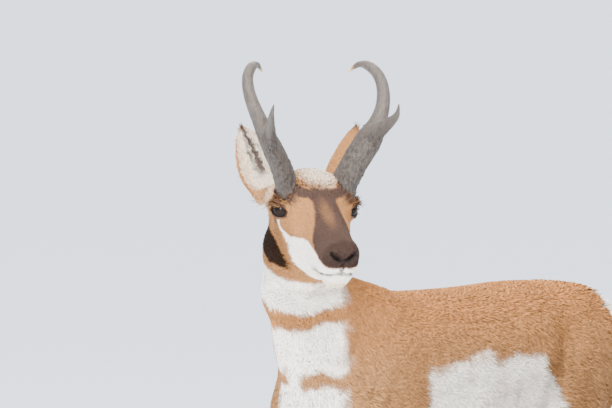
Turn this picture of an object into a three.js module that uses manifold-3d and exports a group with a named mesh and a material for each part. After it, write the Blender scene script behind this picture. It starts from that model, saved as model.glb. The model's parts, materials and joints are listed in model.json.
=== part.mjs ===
// A pronghorn buck, life size, standing with its head turned to its left.
// Millimetres. +X is the way the body faces, +Y is the animal's left, +Z is up, and the floor is z = 0.
import * as THREE from "three";
import { mergeVertices } from "three/addons/utils/BufferGeometryUtils.js";
import Module from "manifold-3d";

const wasm = await Module();
wasm.setup();

// Driving sizes of the whole animal.
const WITHERS = 868;
const CROUP = 866;
const CHEST_FLOOR = 484;
const TRUNK_HALF_WIDTH = 148;
const HEAD_YAW = 50;
const HEAD_PITCH = 21.5;
const GAP = 0.3;
const SKIN_GAP = 0.4;
// Where the body frame's zero lies once the floor plan of the whole animal is centred on the origin.
const CENTRE_X = 68;
const CENTRE_Y = 35;

const vec = (x, y, z) => new THREE.Vector3(x, y, z);
const mix = THREE.MathUtils.lerp;
const rad = THREE.MathUtils.degToRad;

// Fields: a field gives a point's distance from a surface, below zero inside.

const smoothMin = (a, b, k) => {
  const near = Math.max(k - Math.abs(a - b), 0) / k;
  return Math.min(a, b) - (near * near * k) / 4;
};
const blend = (k, ...fields) => (p) => fields.reduce((d, f) => smoothMin(d, f(p), k), 1e4);
const bothSides = (field) => (p) => field({ x: p.x, y: Math.abs(p.y), z: p.z });

// A tapered limb between two joints. Its section is `ratio` times as long along `wide` as it is across.
function bone(from, to, r0, r1, wide = [1, 0, 0], ratio = 1) {
  const [ax, ay, az] = from;
  const [dx, dy, dz] = [to[0] - ax, to[1] - ay, to[2] - az];
  const span = dx * dx + dy * dy + dz * dz;
  const w = vec(...wide).normalize();
  const squeeze = 1 - 1 / ratio;
  return (p) => {
    const t = Math.min(Math.max(((p.x - ax) * dx + (p.y - ay) * dy + (p.z - az) * dz) / span, 0), 1);
    const [ox, oy, oz] = [p.x - ax - t * dx, p.y - ay - t * dy, p.z - az - t * dz];
    const along = squeeze * (ox * w.x + oy * w.y + oz * w.z);
    return Math.hypot(ox - along * w.x, oy - along * w.y, oz - along * w.z) - mix(r0, r1, t);
  };
}

// An egg-shaped muscle or pad, leaned by `tilt` degrees about the side-to-side axis.
function muscle(centre, radii, tilt = 0) {
  const [cx, cy, cz] = centre;
  const [rx, ry, rz] = radii;
  const [c, s] = [Math.cos(rad(tilt)), Math.sin(rad(tilt))];
  return (p) => {
    const [ox, y, oz] = [p.x - cx, p.y - cy, p.z - cz];
    const [x, z] = [ox * c - oz * s, ox * s + oz * c];
    const k0 = Math.hypot(x / rx, y / ry, z / rz);
    const k1 = Math.hypot(x / (rx * rx), y / (ry * ry), z / (rz * rz));
    return k1 < 1e-9 ? -Math.min(rx, ry, rz) : (k0 * (k0 - 1)) / k1;
  };
}

// A smooth value between the rows of a table whose first column is a position.
function between(rows, x, column) {
  const last = rows.length - 1;
  const i = Math.min(Math.max(rows.findIndex((r) => r[0] > x) - 1, 0), last - 1);
  const at = x >= rows[last][0] ? last - 1 : i;
  const [a, b] = [rows[at], rows[at + 1]];
  const t = Math.min(Math.max((x - a[0]) / (b[0] - a[0]), 0), 1);
  const before = rows[Math.max(at - 1, 0)];
  const after = rows[Math.min(at + 2, last)];
  const span = b[0] - a[0];
  const m0 = ((b[column] - before[column]) / (b[0] - before[0])) * span;
  const m1 = ((after[column] - a[column]) / (after[0] - a[0])) * span;
  const [t2, t3] = [t * t, t * t * t];
  return (
    (2 * t3 - 3 * t2 + 1) * a[column] +
    (t3 - 2 * t2 + t) * m0 +
    (3 * t2 - 2 * t3) * b[column] +
    (t3 - t2) * m1
  );
}

// A form given by its stations: [x, top, height of the widest line, bottom, half width].
function stationed(rows, upperFullness, lowerFullness) {
  const [first, last] = [rows[0][0], rows[rows.length - 1][0]];
  return (p) => {
    const x = Math.min(Math.max(p.x, first), last);
    const [top, widest, bottom, half] = [1, 2, 3, 4].map((c) => between(rows, x, c));
    const up = p.z > widest;
    const height = up ? top - widest : widest - bottom;
    const n = up ? upperFullness : lowerFullness;
    const share = (Math.abs(p.y / half) ** n + Math.abs((p.z - widest) / height) ** n) ** (1 / n);
    const across = (share - 1) * Math.min(half, height);
    const beyond = Math.abs(p.x - x);
    return beyond > 0 ? Math.hypot(Math.max(across, 0), beyond) + Math.min(across, 0) * 0.02 : across;
  };
}

// Trunk

const TRUNK = [
  [-438, CROUP - 28, 750, 672, 86],
  [-396, CROUP - 10, 757, 640, 107],
  [-330, CROUP - 4, 765, 610, 119],
  [-250, CROUP, 768, 575, TRUNK_HALF_WIDTH - 20],
  [-150, WITHERS - 6, 750, 538, TRUNK_HALF_WIDTH - 12],
  [-50, WITHERS - 8, 712, 508, TRUNK_HALF_WIDTH - 5],
  [60, WITHERS - 9, 690, CHEST_FLOOR + 6, TRUNK_HALF_WIDTH - 2],
  [160, WITHERS - 8, 688, CHEST_FLOOR, TRUNK_HALF_WIDTH - 14],
  [250, WITHERS - 10, 696, CHEST_FLOOR + 4, TRUNK_HALF_WIDTH - 46],
  [320, WITHERS - 34, 694, CHEST_FLOOR + 26, TRUNK_HALF_WIDTH - 72],
  [370, WITHERS - 90, 690, CHEST_FLOOR + 72, TRUNK_HALF_WIDTH - 92],
];
const barrel = stationed(TRUNK, 2.1, 2.15);

// Limbs of the left side. The right side is the same with y turned round and its own stride.
const FORE = {
  shoulder: [350, 52, 656],
  elbow: [262, 94, 572],
  knee: [288, 84, 336],
  fetlock: [282, 80, 106],
};
const HIND = {
  hip: [-300, 82, 740],
  stifle: [-236, 110, 580],
  hock: [-412, 97, 404],
  fetlock: [-398, 95, 112],
};
const HOOF_REACH = 22;
const CORONET = 44;
const STRIDE = { fore_left: 0, fore_right: 34, hind_left: -8, hind_right: 46 };

const stepped = ([x, y, z], top, stride) => [x + stride * (1 - z / top), y, z];
const strideOf = (leg) => STRIDE[leg];

function foreLimb(leg) {
  const step = (joint) => stepped(joint, FORE.elbow[2], strideOf(leg));
  const [knee, fetlock] = [step(FORE.knee), step(FORE.fetlock)];
  const coronet = step([FORE.fetlock[0] + HOOF_REACH, FORE.fetlock[1], CORONET - 12]);
  return blend(
    14,
    bone([FORE.elbow[0] + 10, 95, 590], [knee[0] - 2, knee[1] + 3, knee[2] + 70], 34, 17.5, [1, 0, 0], 1.3),
    bone([knee[0] - 2, knee[1] + 2, knee[2] + 80], knee, 17, 18, [1, 0, 0], 1.12),
    muscle(knee, [22.5, 20.5, 31]),
    bone([knee[0] - 2, knee[1], knee[2] - 25], fetlock, 13.5, 12.5, [1, 0, 0], 1.28),
    muscle([fetlock[0] - 3, fetlock[1], fetlock[2]], [21, 17.5, 22], -20),
    bone(fetlock, coronet, 14, 17.5, [1, 0, 0], 1.12),
  );
}

function hindLimb(leg) {
  const step = (joint) => stepped(joint, HIND.stifle[2], strideOf(leg));
  const [hock, fetlock] = [step(HIND.hock), step(HIND.fetlock)];
  const coronet = step([HIND.fetlock[0] + HOOF_REACH + 2, HIND.fetlock[1], CORONET - 12]);
  const heel = [hock[0] - 20, hock[1], hock[2] + 24];
  return blend(
    16,
    bone(HIND.stifle, [hock[0] + 14, hock[1] + 2, hock[2] + 18], 54, 21, [0.72, 0, 0.7], 1.35),
    bone([-372, 102, 520], heel, 17, 10),
    muscle([hock[0] + 2, hock[1], hock[2]], [25, 19, 34], -14),
    bone([hock[0], hock[1], hock[2] - 24], fetlock, 15.5, 13.5, [1, 0, 0], 1.3),
    muscle([fetlock[0] - 3, fetlock[1], fetlock[2]], [22, 18, 23], -20),
    bone(fetlock, coronet, 14.5, 18, [1, 0, 0], 1.12),
  );
}

const limbs = {
  fore_left: foreLimb("fore_left"),
  fore_right: foreLimb("fore_right"),
  hind_left: hindLimb("hind_left"),
  hind_right: hindLimb("hind_right"),
};
const turned = (field) => (p) => field({ x: p.x, y: -p.y, z: p.z });
const limbsOf = (left, right) => (p) => (p.y > 0 ? left(p) : turned(right)(p));

const shoulders = bothSides(
  blend(
    40,
    bone([258, 50, 806], [342, 54, 676], 38, 38, [0.3, 0, 1], 1.2),
    bone(FORE.shoulder, [268, 88, 592], 38, 42),
    muscle([284, 84, 650], [80, 38, 90], -25),
  ),
);
const haunches = bothSides(
  blend(
    45,
    muscle([HIND.hip[0] - 18, 88, 703], [118, 56, 146], -18),
    bone([HIND.hip[0] + 12, 84, 696], [-238, 106, 590], 86, 56),
    muscle([-418, 62, 732], [58, 54, 102], 10),
    muscle([-176, 88, 806], [50, 30, 26]),
  ),
);
const breast = muscle([346, 5, 648], [60, 56, 108], 22);
const trunk = blend(46, barrel, shoulders, haunches, breast);

// Neck

const NECK = [
  { at: [262, 0, 742], across: 104, ratio: 1.24 },
  { at: [352, -4, 800], across: 78, ratio: 1.3 },
  { at: [414, -8, 872], across: 61, ratio: 1.26 },
  { at: [440, 0, 940], across: 52, ratio: 1.22 },
  { at: [442, 12, 992], across: 47, ratio: 1.2 },
];
const neckWide = [
  [0.62, 0, -0.78],
  [0.76, 0.1, -0.62],
  [0.88, 0.35, -0.3],
  [0.74, 0.66, -0.1],
];
const neck = blend(
  26,
  ...neckWide.map((wide, i) => {
    const [from, to] = [NECK[i], NECK[i + 1]];
    return bone(from.at, to.at, from.across, to.across, wide, from.ratio);
  }),
);

// Head, in its own frame: +x along the face to the nose, +y to its left, +z up through the brow.
// Its zero is midway between the eyes.

const HEAD_AT = vec(498, 76, 1005);
const headTurn = new THREE.Matrix4()
  .makeRotationZ(rad(HEAD_YAW))
  .multiply(new THREE.Matrix4().makeRotationY(rad(HEAD_PITCH)))
  .setPosition(HEAD_AT);
const headBack = headTurn.clone().invert();
const toHead = (p) => vec(p.x, p.y, p.z).applyMatrix4(headBack);

const SKULL = [
  [-98, 24, -12, -48, 34],
  [-72, 42, -8, -88, 48],
  [-42, 50, -6, -116, 55],
  [-12, 50, -8, -126, 55],
  [20, 44, -12, -122, 49],
  [50, 36, -15, -110, 41],
  [80, 29, -17, -93, 36],
  [110, 23, -20, -82, 33],
  [140, 17, -22, -74, 31],
  [158, 12, -23, -69, 29],
  [169, 4, -24, -60, 23],
];
const EYE = { at: [-2, 55, 1], radius: 18.5 };
const cranium = stationed(SKULL, 2.3, 1.9);
const faceMuscles = bothSides(
  blend(
    12,
    muscle([-4, 50, 2], [30, 15, 25]),
    muscle([-14, 46, 27], [30, 19, 19]),
    bone([40, 40, -22], [-46, 50, -26], 13, 15),
    muscle([-14, 36, -78], [42, 20, 44], 12),
    muscle([-84, 46, -14], [24, 21, 26]),
    muscle([156, 19, -14], [17, 13, 16]),
    muscle([146, 16, -38], [25, 16, 13]),
  ),
);
const chin = muscle([140, 0, -60], [26, 23, 14], 8);
const noseTip = muscle([160, 0, -4], [16, 23, 18]);
const skull = blend(14, cranium, faceMuscles, chin, noseTip);
const head = (p) => skull(toHead(p));

// Tail

const TAIL = { root: [-464, 0, 822], tip: [-502, 0, 724], thick: 27, thin: 9 };

const torsoAndLimbs = blend(
  24,
  trunk,
  limbsOf(limbs.fore_left, limbs.fore_right),
  limbsOf(limbs.hind_left, limbs.hind_right),
);
const flesh = blend(22, blend(40, torsoAndLimbs, neck), head);

// Solids

// A closed geometry as a solid, its faces turned outward whichever way round they came.
function solidOf(geometry) {
  const bare = geometry.clone();
  bare.deleteAttribute("normal");
  bare.deleteAttribute("uv");
  const merged = mergeVertices(bare, 1e-3);
  const corners = Uint32Array.from(merged.index.array);
  const { position } = merged.attributes;
  const at = (i) => vec(0, 0, 0).fromBufferAttribute(position, corners[i]);
  let volume = 0;
  for (let i = 0; i < corners.length; i += 3) volume += at(i).dot(at(i + 1).cross(at(i + 2)));
  if (volume < 0) corners.reverse();
  const vertProperties = Float32Array.from(position.array);
  return new wasm.Manifold(new wasm.Mesh({ numProp: 3, vertProperties, triVerts: corners }));
}

function geometryOf(solid) {
  const { numProp, vertProperties, triVerts } = solid.getMesh();
  const places = new Float32Array((vertProperties.length / numProp) * 3);
  for (let i = 0; i < places.length / 3; i++) {
    places.set(vertProperties.subarray(i * numProp, i * numProp + 3), i * 3);
  }
  const geometry = new THREE.BufferGeometry();
  geometry.setAttribute("position", new THREE.BufferAttribute(places, 3));
  geometry.setIndex(new THREE.BufferAttribute(triVerts, 1));
  geometry.computeVertexNormals();
  return geometry;
}

// The same skin without the slivers that cuts leave: an edge shorter than this is drawn in to one corner,
// where its two ends have no neighbours in common but those of its own two faces.
const WELD = 0.25;
function welded(geometry) {
  const { position } = geometry.attributes;
  const at = Array.from({ length: position.count }, (_, i) => vec(0, 0, 0).fromBufferAttribute(position, i));
  let faces = [];
  for (let i = 0; i < geometry.index.count; i += 3) {
    faces.push([0, 1, 2].map((c) => geometry.index.getX(i + c)));
  }
  for (let round = 0; round < 6; round++) {
    const near = at.map(() => new Set());
    for (const face of faces) for (const a of face) for (const b of face) if (a !== b) near[a].add(b);
    const moved = new Set();
    const into = new Map();
    for (const [a, b] of faces.flatMap(([x, y, z]) => [[x, y], [y, z], [z, x]])) {
      const touched = moved.has(a) || moved.has(b) || [...near[a], ...near[b]].some((c) => moved.has(c));
      if (touched || at[a].distanceTo(at[b]) > WELD) continue;
      if ([...near[a]].filter((c) => near[b].has(c)).length !== 2) continue;
      into.set(a, b);
      for (const c of [a, b, ...near[a], ...near[b]]) moved.add(c);
    }
    faces = faces
      .map((face) => face.map((c) => into.get(c) ?? c))
      .filter(([x, y, z]) => x !== y && y !== z && z !== x);
    if (!into.size) break;
  }
  const used = [...new Set(faces.flat())];
  // Where two corners of one skin touch, each is drawn a little towards its own neighbours.
  const TOUCHING = 1;
  const touching = used.filter((c) => used.some((d) => d !== c && at[c].distanceTo(at[d]) < 1e-3));
  for (const c of touching) {
    const around = [...new Set(faces.filter((face) => face.includes(c)).flat())].filter((d) => d !== c);
    const mean = around.reduce((sum, d) => sum.add(at[d]), vec(0, 0, 0)).divideScalar(around.length);
    at[c] = at[c].clone().addScaledVector(mean.sub(at[c]).normalize(), TOUCHING);
  }
  const renumbered = new Map(used.map((c, i) => [c, i]));
  const clean = new THREE.BufferGeometry();
  clean.setAttribute("position", new THREE.Float32BufferAttribute(used.flatMap((c) => at[c].toArray()), 3));
  clean.setIndex(faces.flat().map((c) => renumbered.get(c)));
  clean.computeVertexNormals();
  return clean;
}

const largest = (solid) => solid.decompose().sort((a, b) => b.volume() - a.volume())[0];
const joined = (solids) => solids.reduce((a, b) => a.add(b));

// The solid behind a plane: all that lies on the side its normal points to is cut away.
const BIG = 3000;
function halfSpace(point, normal) {
  const box = new THREE.BoxGeometry(BIG, BIG, BIG);
  box.translate(0, 0, BIG / 2);
  box.applyQuaternion(new THREE.Quaternion().setFromUnitVectors(vec(0, 0, 1), normal.clone().normalize()));
  box.translate(point.x, point.y, point.z);
  return solidOf(box);
}
const keepBelow = (solid, point, normal) => solid.subtract(halfSpace(point, normal));

// The surface of a field on a grid of planes, with one corner of the mesh in each cell
// that the surface crosses.
function netOf(field, xs, ys, zs, place = new THREE.Matrix4()) {
  const [nx, ny, nz] = [xs.length, ys.length, zs.length];
  const index = (i, j, k) => (i * ny + j) * nz + k;
  const value = new Float64Array(nx * ny * nz);
  for (let i = 0; i < nx; i++) {
    for (let j = 0; j < ny; j++) {
      for (let k = 0; k < nz; k++) {
        const edge = i === 0 || j === 0 || k === 0 || i === nx - 1 || j === ny - 1 || k === nz - 1;
        const d = field(vec(xs[i], ys[j], zs[k]).applyMatrix4(place));
        value[index(i, j, k)] = edge ? Math.max(d, 1) : d || 1e-6;
      }
    }
  }
  const corner = new Map();
  const places = [];
  const steps = [0, 1].flatMap((i) => [0, 1].flatMap((j) => [0, 1].map((k) => [i, j, k])));
  const edges = steps.flatMap((a, m) =>
    steps
      .slice(m + 1)
      .filter((b) => a.reduce((n, c, q) => n + Math.abs(c - b[q]), 0) === 1)
      .map((b) => [a, b]),
  );
  for (let i = 0; i < nx - 1; i++) {
    for (let j = 0; j < ny - 1; j++) {
      for (let k = 0; k < nz - 1; k++) {
        const sum = vec(0, 0, 0);
        let crossings = 0;
        for (const [a, b] of edges) {
          const va = value[index(i + a[0], j + a[1], k + a[2])];
          const vb = value[index(i + b[0], j + b[1], k + b[2])];
          if (va > 0 === vb > 0) continue;
          const t = va / (va - vb);
          sum.x += mix(xs[i + a[0]], xs[i + b[0]], t);
          sum.y += mix(ys[j + a[1]], ys[j + b[1]], t);
          sum.z += mix(zs[k + a[2]], zs[k + b[2]], t);
          crossings += 1;
        }
        if (!crossings) continue;
        corner.set(index(i, j, k), places.length / 3);
        places.push(...sum.divideScalar(crossings).applyMatrix4(place).toArray());
      }
    }
  }
  const faces = [];
  const quad = (a, b, c, d, flip) => faces.push(...(flip ? [a, c, b, a, d, c] : [a, b, c, a, c, d]));
  for (let i = 0; i < nx - 1; i++) {
    for (let j = 0; j < ny - 1; j++) {
      for (let k = 0; k < nz - 1; k++) {
        const here = value[index(i, j, k)] > 0;
        const at = (a, b, c) => corner.get(index(i - a, j - b, k - c));
        const [alongX, alongY, alongZ] = [
          j > 0 && k > 0 && here !== value[index(i + 1, j, k)] > 0,
          i > 0 && k > 0 && here !== value[index(i, j + 1, k)] > 0,
          i > 0 && j > 0 && here !== value[index(i, j, k + 1)] > 0,
        ];
        if (alongX) quad(at(0, 1, 1), at(0, 0, 1), at(0, 0, 0), at(0, 1, 0), here);
        if (alongY) quad(at(1, 0, 1), at(1, 0, 0), at(0, 0, 0), at(0, 0, 1), here);
        if (alongZ) quad(at(1, 1, 0), at(0, 1, 0), at(0, 0, 0), at(1, 0, 0), here);
      }
    }
  }
  const geometry = new THREE.BufferGeometry();
  geometry.setAttribute("position", new THREE.Float32BufferAttribute(places, 3));
  geometry.setIndex(faces);
  return geometry;
}

// Grid planes from one value to another, each stretch with its own spacing: [end, spacing].
function planes(start, ...stretches) {
  const list = [start];
  for (const [end, spacing] of stretches) {
    const from = list[list.length - 1];
    const count = Math.max(Math.round((end - from) / spacing), 1);
    for (let i = 1; i <= count; i++) list.push(mix(from, end, i / count));
  }
  return list;
}

// A closed skin through rings of equal length, with a fan over each end, or joined end to end in a loop.
function loft(rings, loop = false) {
  const n = rings[0].length;
  const places = rings.flat().flatMap((p) => [p.x, p.y, p.z]);
  const faces = [];
  for (let r = 0; r < rings.length - (loop ? 0 : 1); r++) {
    const next = ((r + 1) % rings.length) * n;
    for (let i = 0; i < n; i++) {
      const j = (i + 1) % n;
      faces.push(r * n + i, r * n + j, next + j, r * n + i, next + j, next + i);
    }
  }
  for (const [r, flip] of loop ? [] : [[0, true], [rings.length - 1, false]]) {
    const middle = rings[r].reduce((sum, p) => sum.add(p), vec(0, 0, 0)).divideScalar(n);
    const hub = places.length / 3;
    places.push(middle.x, middle.y, middle.z);
    for (let i = 0; i < n; i++) {
      const [a, b] = [r * n + i, r * n + ((i + 1) % n)];
      faces.push(...(flip ? [hub, b, a] : [hub, a, b]));
    }
  }
  const geometry = new THREE.BufferGeometry();
  geometry.setAttribute("position", new THREE.Float32BufferAttribute(places, 3));
  geometry.setIndex(faces);
  return geometry;
}

// The way from a point inside a field to its surface.
const MARCH = 2;
function reach(field, from, along) {
  let t = 0;
  while (field(from.clone().addScaledVector(along, t)) < 0 && t < 400) t += MARCH;
  let [low, high] = [Math.max(t - MARCH, 0), t];
  for (let i = 0; i < 12; i++) {
    const middle = (low + high) / 2;
    if (field(from.clone().addScaledVector(along, middle)) < 0) low = middle;
    else high = middle;
  }
  return (low + high) / 2;
}

// One ring where a plane through `centre`, spanned by u and v, meets the field's surface.
function ringAround(field, centre, u, v, sides) {
  return Array.from({ length: sides }, (_, i) => {
    const angle = (2 * Math.PI * i) / sides;
    const along = u.clone().multiplyScalar(Math.cos(angle)).addScaledVector(v, Math.sin(angle)).normalize();
    return centre.clone().addScaledVector(along, reach(field, centre, along));
  });
}

// A solid swollen a little along its corners' normals, to cut what rests on it with a gap all round.
function swollen(solid, by) {
  const geometry = geometryOf(solid);
  const { position, normal } = geometry.attributes;
  for (let i = 0; i < position.count; i++) {
    position.setXYZ(
      i,
      position.getX(i) + by * normal.getX(i),
      position.getY(i) + by * normal.getY(i),
      position.getZ(i) + by * normal.getZ(i),
    );
  }
  return solidOf(geometry).add(solid);
}

// Where the nodes part from each other.
const NECK_BASE = { point: vec(205, 0, WITHERS), normal: vec(0.62, 0, 0.78) };
const HEAD_BACK = {
  point: vec(-124, 0, 30).applyMatrix4(headTurn),
  normal: vec(0.884, 0, 0.468).transformDirection(headTurn),
};
const FORE_CUT = CHEST_FLOOR - 8;
const HIND_CUT = 528;
const TAIL_CUT = { point: vec(-462, 0, 820), normal: vec(-0.9, 0, 0.42) };
const UP = vec(0, 0, 1);
const offset = (plane, by) => plane.point.clone().addScaledVector(plane.normal.clone().normalize(), by);
const reversed = (plane) => plane.normal.clone().negate();

function makeTorso() {
  const xs = planes(-516, [-430, 25], [-130, 27], [130, 37], [330, 27], [520, 25]);
  const sideways = [[-130, 24], [-50, 20], [50, 33], [130, 20], [178, 24]];
  const ys = planes(-178, ...sideways);
  const zs = planes(FORE_CUT - 40, [620, 24], [930, 28]);
  const whole = solidOf(netOf(blend(40, torsoAndLimbs, neck), xs, ys, zs));
  const cuts = [
    [NECK_BASE.point, NECK_BASE.normal],
    [offset(TAIL_CUT, 0), TAIL_CUT.normal],
    [vec(0, 0, FORE_CUT), vec(0, 0, -1)],
  ];
  const behind = solidOf(new THREE.BoxGeometry(600, 800, 300).translate(-400, 0, HIND_CUT - 150));
  return largest(cuts.reduce((s, [point, normal]) => keepBelow(s, point, normal), whole).subtract(behind));
}

// The neck: planar rings that swing from the plane of its base to the plane behind the jaw.
const NECK_RINGS = 13;
const NECK_SIDES = 24;
function makeNeck() {
  const from = { centre: vec(316, 0, 778), normal: NECK_BASE.normal.clone().normalize() };
  const to = {
    centre: vec(-76, 0, -48).applyMatrix4(headTurn),
    normal: HEAD_BACK.normal.clone().normalize(),
  };
  const middle = [vec(372, -8, 832), vec(424, -10, 902)];
  const path = new THREE.CatmullRomCurve3([from.centre, ...middle, to.centre]);
  const swing = new THREE.Quaternion().setFromUnitVectors(from.normal, to.normal);
  const rings = [];
  for (let r = 0; r <= NECK_RINGS; r++) {
    const t = mix(-0.03, 1.03, r / NECK_RINGS);
    const centre = path.getPoint(Math.min(Math.max(t, 0), 1));
    const partly = new THREE.Quaternion().slerp(swing, Math.min(Math.max(t, 0), 1));
    const normal = from.normal.clone().applyQuaternion(partly);
    centre.addScaledVector(normal, 300 * (t - Math.min(Math.max(t, 0), 1)));
    const u = vec(0, 1, 0).applyQuaternion(partly);
    u.addScaledVector(normal, -u.dot(normal)).normalize();
    const v = normal.clone().cross(u);
    rings.push(ringAround(flesh, centre, u, v, NECK_SIDES));
  }
  const tube = solidOf(loft(rings));
  const based = tube.subtract(halfSpace(offset(NECK_BASE, GAP), reversed(NECK_BASE)));
  return based.subtract(halfSpace(offset(HEAD_BACK, -GAP), HEAD_BACK.normal));
}

// A lock of long hair: a flat, tapered blade that bends, from its root along `lie`.
function lock(root, lie, outward, length, width, thick, bend) {
  const side = lie.clone().cross(outward).normalize();
  const out = side.clone().cross(lie).normalize();
  const SHARES = [[-0.18, 0.8], [0.1, 1], [0.4, 0.9], [0.72, 0.55], [1, 0.08]];
  const rings = SHARES.map(([t, full]) => {
    const centre = root.clone().addScaledVector(lie, length * t).addScaledVector(out, bend * t * t);
    return [[-1, 0], [0, -1], [1, 0], [0, 1]].map(([a, b]) =>
      centre
        .clone()
        .addScaledVector(side, (a * width * full) / 2)
        .addScaledVector(out, (b * thick * full) / 2),
    );
  });
  return solidOf(loft(rings));
}

// A short mane of flat locks that lie back along the nape, longest half way down.
const MANE = { locks: 15, length: 52, width: 17, thick: 6.5 };
function maneOn(neckSolid) {
  const nape = new THREE.CatmullRomCurve3([
    vec(-108, 0, -6).applyMatrix4(headTurn),
    vec(404, -14, 925),
    vec(352, -9, 860),
    vec(296, 0, 800),
  ]);
  const locks = [];
  for (let i = 0; i < MANE.locks; i++) {
    const t = 0.1 + (0.84 * i) / (MANE.locks - 1);
    const along = nape.getTangent(t);
    const back = vec(-1, 0.05, 0.25).addScaledVector(along, -vec(-1, 0.05, 0.25).dot(along)).normalize();
    const side = back.clone().cross(along);
    const lean = [-0.3, 0.26, 0][i % 3];
    const outward = back.clone().addScaledVector(side, lean).normalize();
    const inside = nape.getPoint(t);
    const root = inside.clone().addScaledVector(outward, reach(flesh, inside, outward) - 4);
    const lie = along.clone().addScaledVector(outward, 0.42).normalize();
    const size = 0.7 + 0.5 * Math.sin(Math.PI * t);
    locks.push(lock(root, lie, outward, MANE.length * size, MANE.width, MANE.thick, -7));
  }
  const cut = joined([neckSolid, ...locks]);
  const based = cut.subtract(halfSpace(offset(NECK_BASE, GAP), reversed(NECK_BASE)));
  return largest(based.subtract(halfSpace(offset(HEAD_BACK, -GAP), HEAD_BACK.normal)));
}

// Limbs below the trunk: level rings round each bone.
const LEG_SIDES = 12;
function makeLimb(leg, top, bottom, levels, axisOf) {
  const side = leg.endsWith("left") ? 1 : -1;
  const rings = [];
  for (let i = 0; i <= levels; i++) {
    const z = mix(bottom, top, i / levels);
    const [x, y] = axisOf(z);
    const centre = vec(x, side * y, z);
    rings.push(ringAround(torsoAndLimbs, centre, vec(1, 0, 0), vec(0, 1, 0), LEG_SIDES));
  }
  return solidOf(loft(rings));
}
const alongJoints = (joints) => (z) => {
  const i = Math.min(Math.max(joints.findIndex((j) => j[2] < z), 1), joints.length - 1);
  const [a, b] = [joints[i - 1], joints[i]];
  const t = (z - a[2]) / (b[2] - a[2]);
  return [mix(a[0], b[0], t), mix(a[1], b[1], t)];
};

function axisOfFore(leg) {
  const step = (joint) => stepped(joint, FORE.elbow[2], strideOf(leg));
  const elbow = [FORE.elbow[0] + 10, 95, 600];
  const coronet = step([FORE.fetlock[0] + HOOF_REACH, FORE.fetlock[1], CORONET - 12]);
  return alongJoints([elbow, step(FORE.knee), step(FORE.fetlock), coronet]);
}
function axisOfHind(leg) {
  const step = (joint) => stepped(joint, HIND.stifle[2], strideOf(leg));
  const above = [HIND.stifle[0] - 12, HIND.stifle[1] - 6, 600];
  const hock = step([HIND.hock[0] + 2, HIND.hock[1], HIND.hock[2]]);
  const coronet = step([HIND.fetlock[0] + HOOF_REACH + 2, HIND.fetlock[1], CORONET - 12]);
  return alongJoints([above, hock, step(HIND.fetlock), coronet]);
}

// One toe of a hoof: level outlines that grow towards a flat sole, pointed in front.
const TOE = { length: 58, width: 24, height: CORONET, sides: 12 };
function makeToe(x, y, inward) {
  const rings = [0, 0.35, 0.75, 1].map((up) => {
    const size = mix(1, 0.72, up);
    return Array.from({ length: TOE.sides }, (_, i) => {
      const angle = (2 * Math.PI * i) / TOE.sides;
      const [c, s] = [Math.cos(angle), Math.sin(angle)];
      const point = c > 0 ? 1 - 0.42 * c * c : 1;
      const flat = s * inward > 0 ? 0.72 : 1.1;
      return vec(
        x + 8 - 17 * up + (TOE.length / 2) * size * c,
        y + (TOE.width / 2) * size * s * point * flat,
        (TOE.height - GAP) * up,
      );
    });
  });
  return solidOf(loft(rings));
}

// Head

// A thin round band along a path, such as a lid's rim or the line of the mouth.
const BAND_SIDES = 6;
function band(points, radius, closed, steps) {
  const path = new THREE.CatmullRomCurve3(points, closed);
  const rings = Array.from({ length: steps }, (_, r) => {
    const t = closed ? r / steps : r / (steps - 1);
    const along = path.getTangent(t);
    const u = vec(0.31, 0.17, 0.93).cross(along).normalize();
    const v = along.clone().cross(u);
    return Array.from({ length: BAND_SIDES }, (_, i) => {
      const angle = (2 * Math.PI * i) / BAND_SIDES;
      const [a, b] = [radius * Math.cos(angle), radius * Math.sin(angle)];
      return path.getPoint(t).addScaledVector(u, a).addScaledVector(v, b);
    });
  });
  return loft(rings, closed);
}
const onFace = (from, along) => from.clone().addScaledVector(along, reach(skull, from, along));

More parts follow.
